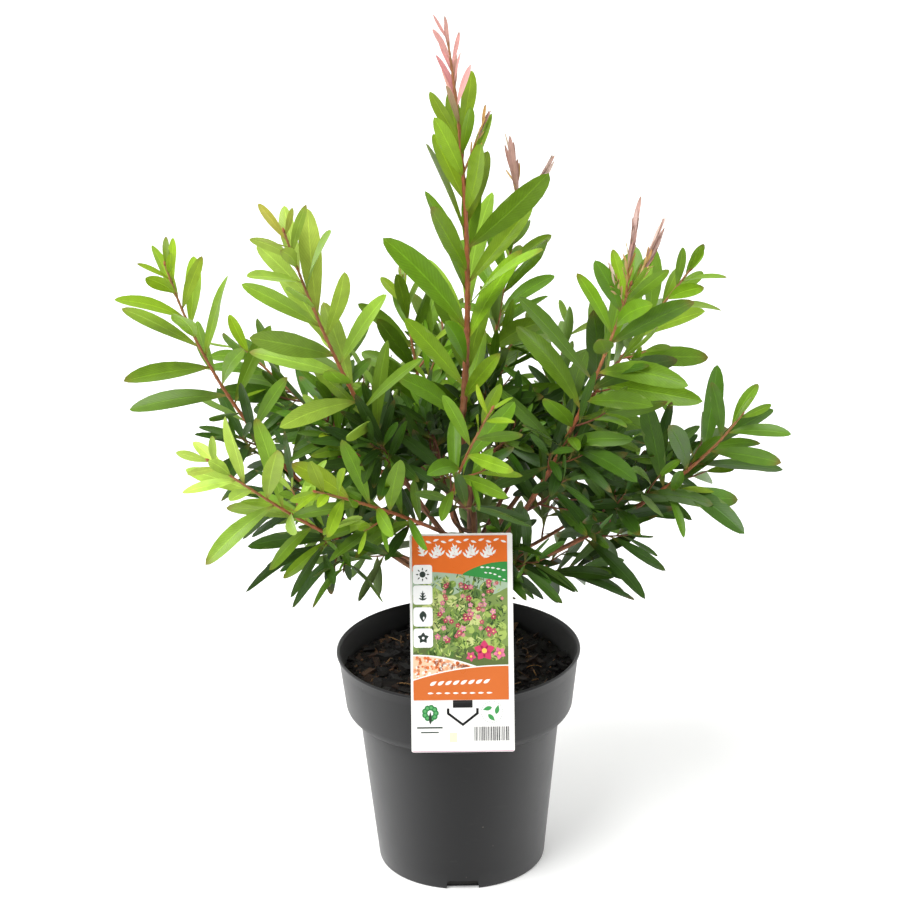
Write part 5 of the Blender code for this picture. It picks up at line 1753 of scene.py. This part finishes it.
    @staticmethod
    def disc(x: float, y: float, radius: float, count: int = 20) -> Array:
        """Outline of a disc, anticlockwise."""
        a = 2.0 * math.pi * np.arange(count) / count
        return np.array((x, y)) + radius * np.stack([np.cos(a), np.sin(a)], -1)

    def sprig(self, x: float, y: float, size: float, colour: str, layer: int, tilt: float = 90.0) -> None:
        """A plain sprig: one leaf at the tip and pairs of leaves below it."""
        for k, share in enumerate((0.0, 0.28, 0.56)):
            foot = around(x, y, share * size, tilt)
            for side in (-1, 1):
                blade = self.leaf(*foot, tilt + side * (62 - 10 * k), size * (0.52 - 0.08 * k), 0.36)
                self.ink(blade, colour, layer)
        self.ink(self.leaf(x, y - 0.12 * size, tilt, 1.2 * size, 0.2), colour, layer + 1)

    def blossom(
        self, x: float, y: float, radius: float, turn: float, colour: str, heart: str, layer: int
    ) -> None:
        """A plain five-petalled blossom."""
        for k in range(5):
            self.ink(self.leaf(x, y, turn + 72.0 * k, radius, 0.72), colour, layer)
        self.ink(self.disc(x, y, 0.24 * radius, 10), heart, layer + 1)

    def picture(self) -> None:
        """A generic garden picture: leafy greens from dark to light, with pink blossoms."""
        rng = np.random.default_rng(17)
        left, right = self.left, self.right
        x = np.linspace(left, right, 24)
        self.band(x, 27.0, 104.0, "#7d9450", 1)
        self.band(x, 86.0 + 3.0 * np.sin(0.2 * x), 104.0, "#a9bfa4", 2)
        self.band(x, 27.0, 40.0 + 3.0 * np.sin(0.21 * x + 1.0), "#5c6c3a", 2)
        greens = ("#36512a", "#557538", "#7f9c49", "#a6bd62", "#cbd58a", "#8d9a5e")
        for k in range(70):
            y0, shade = rng.uniform(36.0, 96.0), int(rng.integers(1, 5))
            size = rng.uniform(2.5, 5.5)
            x0 = rng.uniform(left + size + 0.5, right - size - 0.5)
            if y0 - size > 30.0:
                self.ink(self.disc(x0, y0, size, 9), greens[shade], 3)
        for k in range(620):
            x0, y0 = rng.uniform(left + 3.5, right - 3.5), rng.uniform(31.0, 97.0)
            wave = math.sin(0.13 * x0 + 0.4) * math.cos(0.11 * y0)
            shade = int(np.clip(rng.normal(2.3 + 1.4 * wave, 1.4), 0, 5))
            size, angle = rng.uniform(2.6, 4.6), rng.uniform(15.0, 165.0)
            tip = around(x0, y0, size, angle)
            if left + 1.0 < tip[0] < right - 1.0 and tip[1] < 101.5:
                self.ink(self.leaf(x0, y0, angle, size, 0.26), greens[shade], 4 + k % 3)
        pinks = ("#c9526f", "#dd7e98", "#b93f60", "#e59aae")
        for k in range(64):
            x0, y0 = rng.uniform(left + 4.0, right - 4.0), rng.uniform(46.0, 95.0)
            self.blossom(x0, y0, rng.uniform(1.2, 3.2), rng.uniform(0, 72), pinks[k % 4], "#eccf86", 7)
        for x0, y0, radius, turn, colour in (
            (17.5, 39.0, 8.6, 18.0, "#cf3f6c"), (29.5, 37.0, 5.2, 44.0, "#e07a9a"),
            (7.0, 34.6, 4.2, 60.0, "#d2557c"),
        ):
            self.blossom(x0, y0, radius, turn, colour, "#f0c95c", 7)

    def plate(self, y: float) -> float:
        """White field for a mark; returns the height of its middle."""
        self.ink(self.round_box(-38.0, y - 7.5, -22.8, y + 7.5, 2.2), "#ffffff", 13)
        return y

    def marks(self, x: float = -30.4, dark: str = "#2d3a33", white: str = "#ffffff") -> None:
        """Four white fields at the left, each with one plain mark: sun, leaf, drop, flower."""
        y = self.plate(99.3)
        self.ink(self.disc(x, y, 2.4), dark, 14)
        for angle in range(0, 360, 45):
            self.ink(self.leaf(*around(x, y, 3.1, angle), angle, 2.4, 0.4), dark, 14)
        y = self.plate(83.2)
        self.sprig(x, y - 4.0, 7.0, dark, 14)
        y = self.plate(66.0)
        self.ink(self.leaf(x, y + 4.8, 270.0, 9.0, 0.62), dark, 14)
        self.ink(self.leaf(x + 0.6, y + 0.4, 270.0, 3.2, 0.4), white, 15)
        y = self.plate(49.4)
        self.blossom(x, y, 4.6, 90.0, dark, white, 14)

    def header(self, x: Array, share: Array, white: str) -> None:
        """Orange header: its lower edge falls to the right, and a green swoosh rises over it."""
        under = 101.8 - 9.0 * share**1.8
        self.band(x, under, self.high - self.borders[2], "#e56d20", 10)
        swoosh = x > 1.0
        across = (x[swoosh] - x[swoosh][0]) / (self.right - x[swoosh][0])
        upper = 99.6 + 9.2 * (1.0 - (1.0 - across) ** 2.2)
        self.band(x[swoosh], under[swoosh] - 0.4, upper, "#359043", 11)
        for k in range(9):
            way = (-1) ** k
            self.sprig(-29.0 + 6.7 * k, 113.6 + 0.9 * way, 9.4, white, 12, 90.0 + 24.0 * way)
        for k in range(12):
            self.ink(self.leaf(-33.5 + 5.9 * k, 125.4, 18.0 * (-1) ** k, 4.8, 0.36), white, 12)
        for k in range(5):
            self.ink(self.leaf(15.0 + 4.2 * k, 104.6 - 0.15 * k * k, -4.0, 3.4, 0.42), white, 13)
            self.ink(self.leaf(18.0 + 3.6 * k, 100.4 - 0.35 * k * k, -10.0, 2.8, 0.42), white, 13)

    def lower_band(self, x: Array, share: Array, white: str, rng: Draws) -> None:
        """A speckled patch under an arc, and the orange band with its rising edge over it."""
        edge = 16.0 + 11.0 * (1.0 - (1.0 - share) ** 2.2)
        arc = np.maximum(35.5 - 8.8 * (share / 0.64) ** 2, edge + 0.4)
        patch = share < 0.66
        self.band(x[patch], edge[patch] - 3.0, arc[patch] + 0.9, white, 8)
        self.band(x[patch], edge[patch] - 3.0, arc[patch] - 0.3, "#f1c9a8", 9)
        for _ in range(150):
            x0 = rng.uniform(self.left + 1.2, self.left + 44.0)
            low, high = np.interp(x0, x, edge) + 1.0, np.interp(x0, x, arc) - 1.4
            if high > low:
                colour = ("#e07a45", "#f8f0e6", "#eda57c")[rng.integers(3)]
                self.ink(self.disc(x0, rng.uniform(low, high), rng.uniform(0.6, 1.6), 6), colour, 10)
        self.band(x, 0.6, edge + 0.9, white, 11)
        self.band(x, 0.6, edge, "#cf6c30", 12)
        for k in range(8):
            self.ink(self.leaf(-25.5 + 6.0 * k, 12.2 + 0.2 * k, 30.0, 6.2, 0.42), white, 13)
            self.ink(self.leaf(-27.5 + 6.6 * k, 6.0, 0.0, 4.8, 0.30), white, 13)

    def foot_marks(self, rng: Draws) -> None:
        """White foot: a leafy ring over two strokes, three leaves, bars without figures, a line."""
        bark = "#2a3b2c"
        for k in range(9):
            spot = around(-25.5, -9.6, 4.4, 40.0 * k)
            self.ink(self.disc(*spot, 2.3, 12), "#2c7a42", 1 + k % 3)
            self.ink(self.disc(*spot, 1.2, 10), "#5aa863", 4)
        self.ink(self.leaf(-25.5, -18.4, 90.0, 10.0, 0.24), bark, 5)
        self.band(np.linspace(-36.0, -16.0, 8), -21.6, -20.4, bark, 1)
        self.band(np.linspace(-33.0, -19.0, 8), -25.2, -24.2, bark, 1)
        for k in range(3):
            foot = around(23.0, -9.0, 3.6, 120.0 * k + 90.0)
            self.ink(self.leaf(*foot, 120.0 * k + 195.0, 7.4, 0.46), "#3f9650", 2)
        for k in range(28):
            self.ink(self.disc(*around(23.0, -9.0, 8.4, 360.0 / 28 * k), 0.36, 6), "#9aa39c", 1)
        self.band(np.array((-10.6, -4.6)), -32.6, -25.0, "#e6dcc3", 1)
        place = 9.0
        while place < 36.0:
            bar, gap = rng.uniform(0.35, 1.1), rng.uniform(0.4, 0.9)
            self.band(np.array((place, place + bar)), -31.5, -20.5, "#26272a", 1)
            place += bar + gap
        self.band(np.linspace(-39.6, 39.6, 8), -39.8, -39.4, "#a8327a", 1)

    def dress(self, card: bpy.types.Object) -> list[bpy.types.Object]:
        """Give the card, whose shape is kept, its material, and add the ink."""
        finish = PrintedCard().material()
        for slot in card.material_slots:
            slot.material = finish
        x = np.linspace(self.left, self.right, 48)
        share = (x - self.left) / (self.right - self.left)
        white, rng = "#f4f3f0", np.random.default_rng(5)
        self.picture()
        self.header(x, share, white)
        self.marks()
        self.lower_band(x, share, white, rng)
        self.foot_marks(rng)
        printed = PrintedCard("offset_printing_ink", "", 0.30).material()
        return [card, self.skin.build("label_print", printed, smooth_shade=False)]


# ---------------------------------------------------------------- studio

@dataclass(frozen=True)
class Studio:
    """White studio: seamless floor, bright room, soft key from the upper left."""

    lens: float = 107.02
    sensor: float = 36.0
    place: Point = (-0.0039, -2.0, 1.1049)  # Of the camera, in metres
    pitch: float = 20.45  # Angle that it looks down
    roll: float = -1.06  # Turn about its line of sight
    floor: float = 40.0
    room: Pair = (0.30, 1.05)  # Strength of the room's light from the front and from the other sides
    bounds: Pair = (-0.85, 0.05)  # Places along Y between which it changes
    sun: Point = (-0.50, -0.55, 1.1)  # Direction of the key, from the object
    power: float = 2.7
    soft: float = 34.0  # Angle that the key fills, in degrees

    def dress(self) -> None:
        """Build the floor, the room, the key and the camera."""
        scene = bpy.context.scene
        half = 0.5 * self.floor
        corners = [(-half, -half, 0), (half, -half, 0), (half, half, 0), (-half, half, 0)]
        mesh = bpy.data.meshes.new("studio_floor")
        mesh.from_pydata(corners, [], [(0, 1, 2, 3)])
        mesh.materials.append(StudioFloor().material())
        floor = bpy.data.objects.new("studio_floor", mesh)
        scene.collection.objects.link(floor)
        self.light_room(scene)
        light = bpy.data.lights.new("key", "SUN")
        light.energy, light.angle = self.power, math.radians(self.soft)
        key = bpy.data.objects.new("key", light)
        key.rotation_euler = Vector(self.sun).to_track_quat("Z", "Y").to_euler()
        scene.collection.objects.link(key)
        camera = bpy.data.cameras.new("camera")
        camera.lens, camera.sensor_width = self.lens, self.sensor
        eye = bpy.data.objects.new("camera", camera)
        eye.matrix_world = (
            Matrix.Translation(self.place)
            @ Euler((math.radians(90.0 - self.pitch), 0.0, 0.0)).to_matrix().to_4x4()
            @ Matrix.Rotation(math.radians(self.roll), 4, "Z")
        )
        scene.collection.objects.link(eye)
        scene.camera = eye
        scene.view_settings.view_transform = "Standard"

    def light_room(self, scene: bpy.types.Scene) -> None:
        """A room that is dim behind the viewer and bright at the sides, above and behind."""
        world = bpy.data.worlds.new("room")
        world.use_nodes = True
        tree = world.node_tree
        side = node(tree, "SeparateXYZ", {0: node(tree, "TexCoord")})
        low, high = self.bounds
        front, back = self.room
        strength = node(
            tree, "MapRange",
            {"Value": side.outputs[1], "From Min": low, "From Max": high, "To Min": front, "To Max": back},
            interpolation_type="SMOOTHSTEP",
        )
        node(tree, tree.nodes["Background"], {"Strength": strength, "Color": (1.0, 1.0, 1.0, 1.0)})
        scene.world = world


# ---------------------------------------------------------------- the whole object

def main() -> None:
    """Dress the frame in order, and report each piece."""
    logging.basicConfig(level=logging.INFO, format="%(name)s: %(message)s")
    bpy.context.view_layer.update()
    Studio().dress()
    label = Label()
    pieces = [Pot().dress(), *PottingMix().dress(), *Shrub().dress(label)]
    pieces += label.dress(frame["nodes"]["plant_label"])
    for piece in pieces:
        LOG.info("%s: %d triangles", piece.name, triangle_count(piece))


if __name__ == "__main__":
    main()
